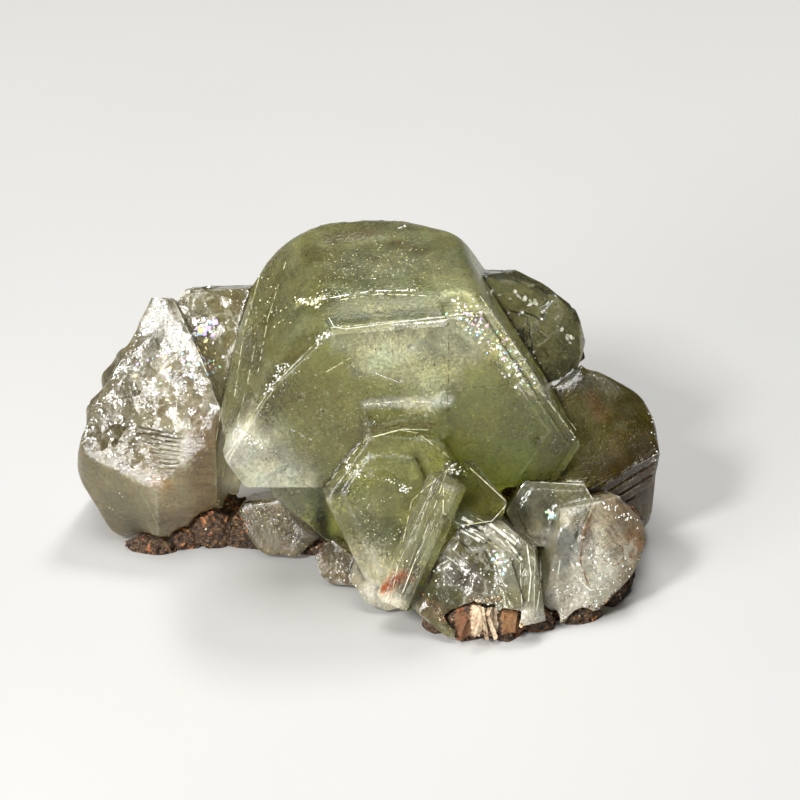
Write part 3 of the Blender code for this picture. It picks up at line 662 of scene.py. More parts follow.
@dataclass
class CrystalGroup:
    """The intergrown crystals, dressed on a fine copy of their solid."""

    solid: str = "crystals"
    merge: float = 0.01
    sharp: float = 0.3
    longest_edge: float = 0.7
    coarse_edge: float = 1.5
    softened: tuple[tuple[tuple[Growth, ...], int, int], ...] = (
        ((Growth.MAIN, Growth.MAIN_ROOT), 9, 10),
        ((Growth.OLIVE_RIGHT,), 5, 14),
        ((Growth.PALE_RIGHT,), 1, 6),
        ((Growth.LEFT,), 1, 3),
        ((Growth.FRONT,), 0, 4),
        ((Growth.PALE_LEFT,), 0, 4),
    )
    blurred: tuple[tuple[float, float, float, float, int], ...] = (
        (355, 392, 455, 440, 10),
        (225, 300, 300, 440, 8),
        (300, 215, 420, 250, 8),
    )
    finer: tuple[tuple[float, float, float, float], ...] = (
        (225, 400, 330, 500),
        (340, 318, 460, 412),
        (330, 515, 405, 610),
        (440, 285, 545, 395),
    )
    finest_edge: float = 0.36
    mottles: tuple[tuple[float, float, Tone], ...] = (
        (0.14, 0.4, tone(156, 136, 68)),
        (-0.14, 0.45, tone(226, 228, 178)),
        (0.4, 0.3, tone(134, 126, 62)),
        (-0.4, 0.25, tone(226, 224, 190)),
    )
    rear_break: float = 0.4
    scoop_width: float = 3.2
    scoop_depth: float = 0.75
    crisp_depth: float = 3.0
    patches: list[Patch] = field(default_factory=lambda: PATCHES)
    edge_step: float = 0.15
    far: float = 2.0
    edges: dict[bool, list[Vector]] = field(default_factory=lambda: {True: [], False: []})

    def copy_solid(self) -> bmesh.types.BMesh:
        """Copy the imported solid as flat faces, each with its crystal's number.

        Returns:
            The copy, in metres.
        """
        bm = bmesh.new()
        bm.from_mesh(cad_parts[self.solid].data)
        bmesh.ops.remove_doubles(bm, verts=bm.verts, dist=self.merge * MM)
        bmesh.ops.dissolve_limit(
            bm, angle_limit=0.01, use_dissolve_boundaries=False, verts=bm.verts, edges=bm.edges
        )
        owner = bm.faces.layers.int.new("crystal")
        for face in bm.faces:
            face[owner] = Growth.holding(face.calc_center_median() / MM, face.normal)
        return bm

    def trace_edges(self, bm: bmesh.types.BMesh) -> None:
        """Note points along the edges that stand out, and along the crevices between two crystals."""
        owner = bm.faces.layers.int["crystal"]
        for edge in bm.edges:
            if len(edge.link_faces) != 2 or edge.calc_face_angle(0) < self.sharp:
                continue
            if not edge.is_convex and len({face[owner] for face in edge.link_faces}) == 1:
                continue
            a, b = (v.co / MM for v in edge.verts)
            steps = int((b - a).length / self.edge_step) + 2
            self.edges[edge.is_convex] += [a.lerp(b, i / (steps - 1)) for i in range(steps)]

    def measure_edges(self, bm: bmesh.types.BMesh) -> None:
        """Write each vertex's distance from the nearest edge of either kind."""
        for name, convex in (("ridge", True), ("gap", False)):
            near = KDTree(len(self.edges[convex]))
            for i, point in enumerate(self.edges[convex]):
                near.insert(point, i)
            near.balance()
            layer = bm.verts.layers.float.new(name)
            for vert in bm.verts:
                vert[layer] = min(self.far, near.find(vert.co / MM)[2])

    def refine(self, bm: bmesh.types.BMesh, longest: float, wanted: Callable | None = None, rounds: int = 8) -> None:
        """Split the faces until no edge is long.

        Args:
            bm: The mesh.
            longest: The longest edge that may stay, in millimetres.
            wanted: Says whether an edge may be split, and is left out where all may.
            rounds: How often the edges are looked through.
        """
        bmesh.ops.triangulate(bm, faces=bm.faces)
        for _ in range(rounds):
            edges = [e for e in bm.edges if e.calc_length() > longest * MM and (not wanted or wanted(e))]
            if not edges:
                break
            bmesh.ops.subdivide_edges(bm, edges=edges, cuts=1)
            bmesh.ops.triangulate(bm, faces=[f for f in bm.faces if len(f.verts) > 3])

    def smooth(self, bm: bmesh.types.BMesh, verts: list, rounds: int, share: float = 0.5) -> None:
        """Draw vertices towards the middle of their neighbours.

        Args:
            bm: The mesh.
            verts: The vertices.
            rounds: How often.
            share: How far each time.
        """
        for _ in range(rounds):
            bmesh.ops.smooth_vert(bm, verts=verts, factor=share, use_axis_x=True, use_axis_y=True, use_axis_z=True)

    def soften(self, bm: bmesh.types.BMesh, stage: int) -> None:
        """Round the outlines that grew or wore smooth, all but the main crystal's front edges.

        Args:
            bm: The mesh.
            stage: 1 for the coarse mesh, 2 for the fine one.
        """
        owner = bm.faces.layers.int["crystal"]
        order = list(Growth)
        front, axis = Vector(Growth.MAIN.value.seat), Growth.MAIN.value.axes[2]
        for entry in self.softened:
            numbers = {order.index(growth) for growth in entry[0]}
            inner = [v for v in bm.verts if all(f[owner] in numbers for f in v.link_faces)]
            if Growth.MAIN in entry[0]:
                inner = [v for v in inner if (v.co / MM - front).dot(axis) < -self.crisp_depth]
            self.smooth(bm, inner, entry[stage])
            if stage == 2 and entry[1] > 3:
                ridge = bm.verts.layers.float["ridge"]
                for vert in inner:
                    vert[ridge] = self.far

    def break_backs(self, bm: bmesh.types.BMesh) -> None:
        """Scoop shallow shell-shaped hollows out of the faces that look to the rear."""
        for vert in bm.verts:
            share = min(1.0, vert.normal.y * 1.6 - 0.4)
            place = vert.co / MM
            if share <= 0.0 or place.z < 0.3:
                continue
            wide = noise.voronoi(place / self.scoop_width)[0][0]
            small = noise.voronoi(place * 2.3 / self.scoop_width)[0][0]
            depth = max(0.0, 0.75 - wide) * self.scoop_depth + max(0.0, 0.7 - small) * self.scoop_depth * 0.25
            vert.co -= vert.normal * depth * share * MM

    def blur(self, bm: bmesh.types.BMesh, sight: Sight) -> None:
        """Wear all edges a little, and more in a few places of the picture."""
        self.smooth(bm, bm.verts, 1, 0.35)
        seen = [(v, *sight.pixel(v.co)) for v in bm.verts if v.normal.dot(sight.back()) > 0.0]
        for left, top, right, bottom, rounds in self.blurred:
            self.smooth(bm, [v for v, x, y in seen if left < x < right and top < y < bottom], rounds)

    def build(self, sight: Sight) -> bpy.types.Object:
        """Make the group's mesh.

        Args:
            sight: The picture's camera.

        Returns:
            The object, undressed.
        """
        bm = self.copy_solid()
        self.trace_edges(bm)
        self.refine(bm, self.coarse_edge)
        self.soften(bm, 1)
        self.refine(bm, self.longest_edge)
        bm.normal_update()
        self.measure_edges(bm)
        self.soften(bm, 2)
        bm.normal_update()

        def pictured(edge: bmesh.types.BMEdge) -> bool:
            """Whether an edge lies in one of the finer parts of the picture."""
            x, y = sight.pixel(edge.verts[0].co)
            seen = edge.verts[0].normal.dot(sight.back()) > 0.0
            return seen and any(left < x < right and top < y < bottom for left, top, right, bottom in self.finer)

        self.refine(bm, self.finest_edge, pictured, 1)
        bm.normal_update()
        self.break_backs(bm)
        self.blur(bm, sight)
        obj = to_object(bm, "crystal_group")
        obj.data.shade_smooth()
        obj.data.set_sharp_from_angle(angle=math.radians(24))
        return obj

    def weights(self, patch: Patch, places: np.ndarray, tree: BVHTree, sight: Sight) -> np.ndarray:
        """How strongly a patch marks each place, near the surface points under its line in the picture.

        Args:
            patch: The patch.
            places: Points in millimetres, one a row.
            tree: The surface, to find the patch on.
            sight: The picture's camera.

        Returns:
            A share for each place, 0 to the patch's strength.
        """
        start, end = np.array(patch.start), np.array(patch.end or patch.start)
        steps = int(np.linalg.norm(end - start) / max(5.0, patch.width * 4)) + 1
        apart = np.full(len(places), 1e9)
        for i in range(steps + 1):
            hit = tree.ray_cast(sight.eye(), sight.ray(*(start + (end - start) * i / steps)))[0]
            if hit is not None:
                apart = np.minimum(apart, ((places - np.array(hit) / MM) ** 2).sum(axis=1))
        share = np.clip(1.35 - np.sqrt(apart) / patch.width, 0, 1)
        return patch.strength * share * share * (3 - 2 * share)

    def dress(self, obj: bpy.types.Object, sight: Sight) -> None:
        """Paint the attributes that the finish reads, and give the mesh the finish.

        Args:
            obj: The group's object.
            sight: The picture's camera.
        """
        mesh = obj.data
        places = np.empty(len(mesh.vertices) * 3)
        mesh.vertices.foreach_get("co", places)
        places = places.reshape(-1, 3) / MM
        warp = np.array([noise.noise_vector(Vector(p) * 0.45) for p in places]) * 1.1
        tree = BVHTree.FromObject(obj, bpy.context.evaluated_depsgraph_get())

        loops = np.empty(len(mesh.loops), np.int32)
        mesh.loops.foreach_get("vertex_index", loops)
        owners = np.empty(len(mesh.polygons), np.int32)
        mesh.attributes["crystal"].data.foreach_get("value", owners)
        owner = np.repeat(owners, 3)
        zones = [growth.value for growth in Growth]
        tint = np.array([(*z.tint, 0.0) for z in zones])[owner]
        mottled = np.array([z.finish is GREEN for z in zones])[owner] * 0.7 + 0.3
        relief = np.array([(z.frost, z.broken, z.striated, 1.0) for z in zones])[owner]
        fibre = np.zeros(len(loops))
        for scale, strength, colour in self.mottles:
            blots = np.array([noise.fractal(Vector(p) * abs(scale), 1.0, 2.0, 3) for p in places])
            share = np.clip(blots * 1.6 * np.sign(scale), 0, 1)[loops] * strength * mottled
            tint[:, :3] += (np.array(colour) - tint[:, :3]) * share[:, None]
        for patch in self.patches:
            moved = places + warp * min(1.0, patch.width / 4)
            share = self.weights(patch, moved, tree, sight)[loops]
            if patch.mark is Mark.TINT:
                tint[:, :3] += (np.array(patch.colour) - tint[:, :3]) * share[:, None]
            elif patch.mark is Mark.CLOUD:
                tint[:, 3] += share
            elif patch.mark is Mark.FIBRE:
                fibre += share
            else:
                relief[:, (Mark.FROST, Mark.BROKEN, Mark.STRIATED).index(patch.mark)] += share
        outward = np.empty(len(mesh.vertices) * 3)
        mesh.vertices.foreach_get("normal", outward)
        hidden = np.clip(outward.reshape(-1, 3)[:, 1] * 1.4 - 0.2 + warp[:, 0] * 0.5, 0, 1)[loops]
        relief[:, 0] += hidden * 0.3
        relief[:, 1] += hidden * self.rear_break
        rim = np.zeros((len(mesh.vertices), 3))
        for i, name in enumerate(("ridge", "gap")):
            values = np.empty(len(mesh.vertices))
            mesh.attributes[name].data.foreach_get("value", values)
            rim[:, i] = values
        lay = np.empty((len(loops), 3))
        for i, zone in enumerate(zones):
            level, climb, axis = (np.array(v) for v in zone.axes)
            here = owner == i
            reach = places[loops[here]] - np.array(zone.seat)
            turn = math.radians(zone.ridge_turn)
            lay[here] = np.stack(
                [
                    reach @ (level * math.cos(turn) + climb * math.sin(turn)),
                    reach @ (axis if zone.ridge_turn < 45 else level),
                    reach @ (climb if zone.ridge_turn < 45 else axis),
                ],
                axis=1,
            )
        self.store(mesh, "tint", "FLOAT_COLOR", "color", np.clip(tint, 0, 1))
        self.store(mesh, "relief", "FLOAT_COLOR", "color", np.clip(relief, 0, 1))
        self.store(mesh, "lay", "FLOAT_VECTOR", "vector", lay)
        self.store(mesh, "rim", "FLOAT_VECTOR", "vector", rim[loops])
        finishes = [GREEN, CLEAR, SMOKY, HAZY, MILKY, FIBROUS]
        for finish in finishes:
            mesh.materials.append(finish.build())
        chosen = np.array([finishes.index(zone.finish) for zone in zones])[owners]
        milk = tint[:, 3].reshape(-1, 3).mean(axis=1) + warp[loops, 2].reshape(-1, 3).mean(axis=1) * 0.25
        milk += np.random.default_rng(3).uniform(-0.2, 0.2, len(milk))
        chosen[milk > 0.36] = finishes.index(HAZY)
        chosen[milk > 0.78] = finishes.index(MILKY)
        fibrous = fibre.reshape(-1, 3).mean(axis=1) + np.random.default_rng(4).uniform(-0.35, 0.35, len(milk))
        chosen[fibrous > 0.6] = finishes.index(FIBROUS)
        mesh.polygons.foreach_set("material_index", chosen.astype(np.int32))

    def store(self, mesh: bpy.types.Mesh, name: str, kind: str, part: str, values: np.ndarray) -> None:
        """Write an attribute on the mesh's corners.

        Args:
            mesh: The mesh.
            name: The attribute's name.
            kind: Its data type.
            part: The property that holds its value.
            values: One row for each corner.
        """
        made = mesh.attributes.new(name, kind, "CORNER")
        made.data.foreach_set(part, values.astype(np.float32).ravel())


@dataclass(frozen=True)
class PaintedFinish:
    """A finish whose colour lies on the mesh as its tint."""

    name: str
    roughness: float
    ior: float = 1.5
    grain: float = 3000.0
    depth: float = 0.1

    def build(self) -> bpy.types.Material:
        """Make the material.

        Returns:
            The material.
        """
        g = Graph(self.name)
        place = g.add("TexCoord", out="Object")
        fine = g.add("TexNoise", Vector=place, Scale=self.grain, Detail=4.0, Roughness=0.65)
        g.link(g.mix(1.0, g.attribute("tint"), g.spread(fine, 0.3, 0.72, 0.6, 1.25), "MULTIPLY"), "Base Color")
        g.link(g.spread(fine, 0.3, 0.7, self.roughness * 0.8, min(1.0, self.roughness * 1.15)), "Roughness")
        g.link(g.add("Bump", Height=fine, Strength=1.0, Distance=self.depth * MM), "Normal")
        g.plain(IOR=self.ior)
        return g.material


class Surface:
    """The outside on which small things are set."""

    def __init__(self, obj: bpy.types.Object, sight: Sight) -> None:
        """Read the outside of an object.

        Args:
            obj: The object.
            sight: The picture's camera.
        """
        self.sight = sight
        self.mesh = obj.data
        self.tree = BVHTree.FromObject(obj, bpy.context.evaluated_depsgraph_get())

    def under(self, x: float, y: float) -> tuple[Vector, Vector] | None:
        """The surface that lies under a point of the picture.

        Args:
            x: Pixels from the picture's left side.
            y: Pixels from its top.

        Returns:
            The point in millimetres and the direction that faces out, or None.
        """
        hit, normal, _, _ = self.tree.ray_cast(self.sight.eye(), self.sight.ray(x, y))
        return None if hit is None else (hit / MM, normal)

    def scattered(self, random: Random, count: int, wanted: Callable[[Vector, Vector], bool]) -> list:
        """Points of the surface, as many to each face as its area asks.

        Args:
            random: Where the chances come from.
            count: How many points are tried.
            wanted: Says whether a point, with its direction, is kept.

        Returns:
            Pairs of a point in millimetres and the direction that faces out.
        """
        faces = self.mesh.polygons
        areas = [f.area for f in faces]
        kept = []
        for face in random.choices(faces, weights=areas, k=count):
            a, b, c = (self.mesh.vertices[i].co for i in face.vertices[:3])
            u, v = sorted((random.random(), random.random()))
            point = (a * u + b * (v - u) + c * (1 - v)) / MM
            if wanted(point, face.normal):
                kept.append((point, face.normal.copy()))
        return kept


@dataclass
class Scatter:
    """Small shapes of one kind, set one by one into a single mesh, each with its own colour."""

    name: str
    batch: int = 150
    meshes: list[bpy.types.Mesh] = field(default_factory=list)
    count: int = 0

    def __post_init__(self) -> None:
        """Start the first batch."""
        self.start()

    def start(self) -> None:
        """Start a batch, because a small mesh takes new shapes faster than a large one."""
        self.bm = bmesh.new()
        self.tint = self.bm.loops.layers.float_color.new("tint")

    def close(self) -> None:
        """Put the batch aside as a mesh."""
        mesh = bpy.data.meshes.new(self.name)
        self.bm.to_mesh(mesh)
        self.bm.free()
        self.meshes.append(mesh)

    def colour(self, verts: list, colour: Tone) -> None:
        """Give new faces their colour.

        Args:
            verts: The new shape's vertices.
            colour: The colour.
        """
        for face in {f for v in verts for f in v.link_faces}:
            for loop in face.loops:
                loop[self.tint] = (*colour, 1.0)
        self.count += 1
        if self.count % self.batch == 0:
            self.close()
            self.start()

    def finish(self) -> bpy.types.Object:
        """Join the batches.

        Returns:
            The object.
        """
        self.close()
        bm = bmesh.new()
        for mesh in self.meshes:
            bm.from_mesh(mesh)
            bpy.data.meshes.remove(mesh)
        return to_object(bm, self.name)


def settle(point: Vector, out: Vector, size: tuple[float, float, float], turn: float) -> Matrix:
    """Matrix that sizes a shape, turns it and sets it on a surface with its own Z outward.

    Args:
        point: Where its middle lands, in millimetres.
        out: The direction that its Z takes.
        size: What its sides are multiplied by.
        turn: Turn about its Z, in radians.

    Returns:
        The matrix, in metres.
    """
    turned = out.to_track_quat("Z", "Y").to_matrix().to_4x4() @ Matrix.Rotation(turn, 4, "Z")
    return Matrix.Translation(point * MM) @ turned @ Matrix.Diagonal((*(c * MM for c in size), 1.0))


# Flake and line colours. Pearl flakes are painted glints, and rainbow ones painted glints with rainbow reflections.
PEARL_GLINT = (tone(250, 250, 246), tone(236, 238, 232), tone(226, 226, 206))
RAINBOW_GLINT = (
    tone(255, 214, 222),
    tone(190, 226, 255),
    tone(200, 255, 214),
    tone(255, 236, 170),
    tone(222, 196, 255),
    tone(250, 250, 246),
)


# Edge colours are painted glints along edges; faint ones are partly pale grain and partly painted glints.
EDGE_GLINT = (tone(206, 205, 184), tone(186, 186, 158), tone(226, 226, 210))
SUBTLE = (tone(172, 168, 118), tone(146, 140, 88))
BROWN = (tone(128, 96, 62), tone(104, 74, 44), tone(150, 118, 80))
GLASSY = (tone(212, 212, 196), tone(196, 196, 178))
FAINT_GRAIN_AND_GLINT = (tone(232, 228, 186), tone(216, 212, 160), tone(244, 242, 216))
DARK = (tone(96, 84, 40), tone(70, 58, 26), tone(120, 92, 48))


@dataclass(frozen=True)
class Sprinkle:
    """Bright broken flakes along a line of the picture; the bright ones are painted glints."""

    start: tuple[float, float]
    end: tuple[float, float]
    spread: float
    count: int
    size: tuple[float, float]
    tones: tuple[Tone, ...] = PEARL_GLINT
    lean: float = 0.5


# Pale and rainbow flakes here are painted glints; the dark flakes are specks, except one row laid as painted shade in
# the groove under the ledge.
SPRINKLES = (
    Sprinkle((150, 380), (196, 356), 22, 44, (0.2, 0.55), RAINBOW_GLINT, 0.25),
    Sprinkle((112, 430), (182, 420), 24, 60, (0.12, 0.42), PEARL_GLINT),
    Sprinkle((196, 334), (216, 330), 12, 26, (0.45, 1.0), RAINBOW_GLINT, 0.15),
    Sprinkle((206, 350), (216, 372), 9, 24, (0.2, 0.5), RAINBOW_GLINT, 0.3),
    Sprinkle((456, 300), (504, 352), 15, 60, (0.14, 0.5), RAINBOW_GLINT, 0.3),
    Sprinkle((452, 296), (530, 388), 10, 70, (0.12, 0.5), PEARL_GLINT, 0.3),
    Sprinkle((490, 340), (536, 386), 12, 50, (0.12, 0.45), RAINBOW_GLINT, 0.3),
    Sprinkle((300, 303), (326, 296), 4, 26, (0.12, 0.32)),
    Sprinkle((330, 296), (424, 290), 3, 40, (0.08, 0.22)),
    Sprinkle((330, 328), (485, 313), 2, 40, (0.07, 0.18)),
    Sprinkle((266, 392), (286, 364), 5, 46, (0.14, 0.42)),
    Sprinkle((312, 342), (330, 334), 4, 20, (0.12, 0.34)),
    Sprinkle((240, 428), (260, 446), 7, 34, (0.14, 0.40)),
    Sprinkle((296, 300), (322, 306), 4, 26, (0.16, 0.44), FAINT_GRAIN_AND_GLINT),
    Sprinkle((262, 272), (282, 330), 12, 40, (0.10, 0.30), FAINT_GRAIN_AND_GLINT),
    Sprinkle((226, 458), (330, 330), 3, 50, (0.07, 0.20)),
    Sprinkle((480, 296), (578, 442), 3, 60, (0.07, 0.22)),
    Sprinkle((346, 466), (362, 476), 5, 22, (0.12, 0.34)),
    Sprinkle((388, 480), (412, 492), 5, 26, (0.10, 0.34)),
    Sprinkle((446, 462), (466, 478), 5, 26, (0.10, 0.30)),
    Sprinkle((398, 228), (406, 226), 2, 8, (0.14, 0.3)),
    Sprinkle((322, 352), (446, 362), 26, 46, (0.06, 0.20), DARK),
    Sprinkle((330, 400), (440, 400), 24, 40, (0.06, 0.18), DARK),
    Sprinkle((296, 396), (308, 396), 2, 10, (0.10, 0.22), DARK),
    # Dark flakes along the groove under the ledge: painted shade.
    Sprinkle((366, 426), (438, 426), 3, 46, (0.08, 0.24), DARK),
    # Pale flakes along the ledge: painted glints.
    Sprinkle((366, 404), (450, 402), 3, 44, (0.08, 0.22)),
    Sprinkle((560, 425), (580, 426), 3, 14, (0.10, 0.24), DARK),
    Sprinkle((330, 240), (410, 236), 6, 40, (0.08, 0.26), DARK),
    Sprinkle((492, 550), (510, 568), 7, 22, (0.15, 0.5), RAINBOW_GLINT),
    Sprinkle((462, 526), (515, 538), 5, 16, (0.15, 0.5)),
    Sprinkle((547, 512), (555, 518), 4, 18, (0.2, 0.6), RAINBOW_GLINT, 0.3),
    Sprinkle((596, 502), (640, 522), 5, 34, (0.10, 0.30)),
    Sprinkle((486, 290), (530, 304), 4, 9, (0.4, 1.0), EDGE_GLINT, 0.15),
    Sprinkle((512, 290), (560, 322), 5, 10, (0.3, 0.8), EDGE_GLINT, 0.15),
    Sprinkle((556, 316), (572, 344), 4, 9, (0.3, 0.9), EDGE_GLINT, 0.15),
    Sprinkle((648, 396), (656, 462), 3, 22, (0.08, 0.26)),
    Sprinkle((560, 590), (600, 606), 10, 40, (0.10, 0.30)),
    Sprinkle((155, 300), (82, 446), 4, 50, (0.10, 0.30)),
    Sprinkle((300, 420), (420, 370), 60, 420, (0.04, 0.13), FAINT_GRAIN_AND_GLINT),
    Sprinkle((300, 440), (360, 400), 30, 300, (0.04, 0.12), FAINT_GRAIN_AND_GLINT),
    Sprinkle((440, 440), (540, 430), 44, 260, (0.04, 0.13), FAINT_GRAIN_AND_GLINT),
    Sprinkle((320, 270), (430, 262), 30, 260, (0.05, 0.20), FAINT_GRAIN_AND_GLINT),
    Sprinkle((250, 300), (240, 420), 20, 160, (0.05, 0.18), FAINT_GRAIN_AND_GLINT),
    Sprinkle((500, 330), (550, 410), 20, 160, (0.05, 0.18)),
    Sprinkle((350, 480), (390, 560), 30, 200, (0.05, 0.18), FAINT_GRAIN_AND_GLINT),
    Sprinkle((430, 570), (510, 590), 30, 60, (0.08, 0.34)),
    Sprinkle((530, 505), (580, 520), 24, 26, (0.05, 0.2)),
    Sprinkle((580, 560), (620, 580), 30, 80, (0.08, 0.34)),
    Sprinkle((250, 510), (300, 540), 24, 120, (0.05, 0.20), FAINT_GRAIN_AND_GLINT),
    Sprinkle((330, 560), (355, 590), 12, 70, (0.06, 0.22)),
    Sprinkle((110, 470), (190, 470), 40, 50, (0.05, 0.2)),
)


@dataclass(frozen=True)
class Stroke:
    """A fine raised line that runs over the surface through points of the picture; pale ones along edges
    and ridges are painted highlights.
    """

    points: tuple[tuple[float, float], ...]
    width: float
    tones: tuple[Tone, ...] = PEARL_GLINT
    broken: float = 0.2


# Pale lines along edges and ridges are painted highlights; one dark line is painted shade in the groove under the
# ledge.
STROKES = (
    Stroke(((323, 244), (326, 280), (329, 322)), 0.03, SUBTLE, 0.35),
    Stroke(((430, 262), (438, 288), (447, 316)), 0.03, SUBTLE, 0.35),
    Stroke(((329, 318), (334, 327), (346, 329), (400, 322), (445, 317)), 0.10, PEARL_GLINT, 0.1),
    Stroke(((300, 303), (330, 298), (372, 291), (424, 290)), 0.12, PEARL_GLINT, 0.3),
    Stroke(((340, 300), (380, 294), (430, 296)), 0.09, FAINT_GRAIN_AND_GLINT, 0.4),
    Stroke(((225, 458), (268, 392), (328, 330)), 0.05, FAINT_GRAIN_AND_GLINT, 0.5),
    Stroke(((330, 328), (485, 312)), 0.06, FAINT_GRAIN_AND_GLINT, 0.3),
    Stroke(((485, 312), (532, 380), (582, 446)), 0.06, FAINT_GRAIN_AND_GLINT, 0.4),
    Stroke(((480, 296), (520, 354), (545, 391)), 0.07, FAINT_GRAIN_AND_GLINT, 0.3),
    Stroke(((553, 400), (576, 430)), 0.07, FAINT_GRAIN_AND_GLINT, 0.2),
    # Pale line along the ledge: painted highlight.
    Stroke(((364, 405), (400, 401), (450, 403)), 0.07, FAINT_GRAIN_AND_GLINT, 0.3),
    # Dark line in the groove under the ledge: painted shadow.
    Stroke(((366, 433), (400, 424), (437, 424)), 0.12, DARK, 0.1),
    Stroke(((372, 437), (402, 429), (432, 430)), 0.08, FAINT_GRAIN_AND_GLINT, 0.2),
    Stroke(((448, 318), (449, 370), (446, 428)), 0.05, DARK, 0.5),
    Stroke(((372, 372), (398, 382)), 0.05, PEARL_GLINT, 0.1),
    Stroke(((284, 404), (312, 392)), 0.06, DARK, 0.1),
    Stroke(((252, 410), (286, 436)), 0.05, DARK, 0.3),
    Stroke(((288, 428), (312, 440)), 0.05, PEARL_GLINT, 0.2),
    Stroke(((326, 372), (350, 358)), 0.05, FAINT_GRAIN_AND_GLINT, 0.3),
    Stroke(((325, 496), (345, 471), (370, 455), (404, 450)), 0.05, SUBTLE, 0.5),
    Stroke(((324, 488), (345, 463), (366, 439), (400, 430), (418, 433), (455, 462)), 0.06, FAINT_GRAIN_AND_GLINT, 0.4),
    Stroke(((447, 470), (412, 500), (393, 588)), 0.06, FAINT_GRAIN_AND_GLINT, 0.35),
    Stroke(((447, 470), (430, 520), (403, 592)), 0.07, FAINT_GRAIN_AND_GLINT, 0.3),
    Stroke(((432, 490), (412, 548)), 0.04, FAINT_GRAIN_AND_GLINT, 0.4),
    Stroke(((444, 480), (443, 512), (457, 526), (492, 521), (508, 503), (470, 468)), 0.08, FAINT_GRAIN_AND_GLINT, 0.3),
    Stroke(((525, 481), (584, 485), (595, 503), (574, 547)), 0.06, EDGE_GLINT, 0.3),
    Stroke(((525, 481), (503, 519), (540, 545)), 0.06, EDGE_GLINT, 0.3),
    Stroke(((455, 522), (500, 540), (520, 562), (522, 610)), 0.08, EDGE_GLINT, 0.3),
    Stroke(((470, 515), (512, 535), (535, 560), (534, 612)), 0.07, EDGE_GLINT, 0.3),
    Stroke(((440, 545), (470, 530), (498, 548)), 0.09, FAINT_GRAIN_AND_GLINT, 0.3),
    Stroke(((462, 518), (486, 530)), 0.34, GLASSY, 0.0),
    Stroke(((458, 528), (480, 541)), 0.26, GLASSY, 0.0),
    Stroke(((490, 524), (516, 544)), 0.30, GLASSY, 0.0),
    Stroke(((506, 540), (522, 560)), 0.22, GLASSY, 0.0),
    Stroke(((446, 556), (470, 574)), 0.16, GLASSY, 0.1),
    Stroke(((527, 545), (531, 575), (528, 605)), 0.12, GLASSY, 0.1),
    Stroke(((540, 552), (541, 580), (537, 610)), 0.12, GLASSY, 0.15),
    Stroke(((575, 575), (590, 590), (612, 588)), 0.14, GLASSY, 0.2),
    Stroke(((560, 560), (556, 590), (562, 612)), 0.12, GLASSY, 0.2),
    Stroke(((596, 505), (584, 530), (580, 560), (588, 585)), 0.12, BROWN, 0.1),
    Stroke(((602, 548), (612, 541), (622, 547), (624, 560), (614, 566), (604, 560)), 0.07, BROWN, 0.2),
    Stroke(((596, 545), (611, 533), (628, 540), (632, 560), (618, 574)), 0.06, BROWN, 0.4),
    Stroke(((618, 375), (645, 391), (657, 421), (655, 446)), 0.06, SUBTLE, 0.4),
    Stroke(((172, 298), (199, 354), (221, 409), (216, 440)), 0.06, EDGE_GLINT, 0.4),
    Stroke(((80, 448), (110, 462), (140, 488), (165, 540)), 0.05, SUBTLE, 0.4),
    Stroke(((262, 268), (244, 330), (234, 400)), 0.05, FAINT_GRAIN_AND_GLINT, 0.4),
    Stroke(((272, 262), (256, 320), (244, 380)), 0.04, DARK, 0.45),
    Stroke(((286, 262), (268, 318), (258, 372)), 0.05, FAINT_GRAIN_AND_GLINT, 0.5),
    Stroke(((246, 300), (236, 350), (230, 420)), 0.05, DARK, 0.4),
    Stroke(((255, 345), (246, 390), (232, 440)), 0.05, FAINT_GRAIN_AND_GLINT, 0.4),
)


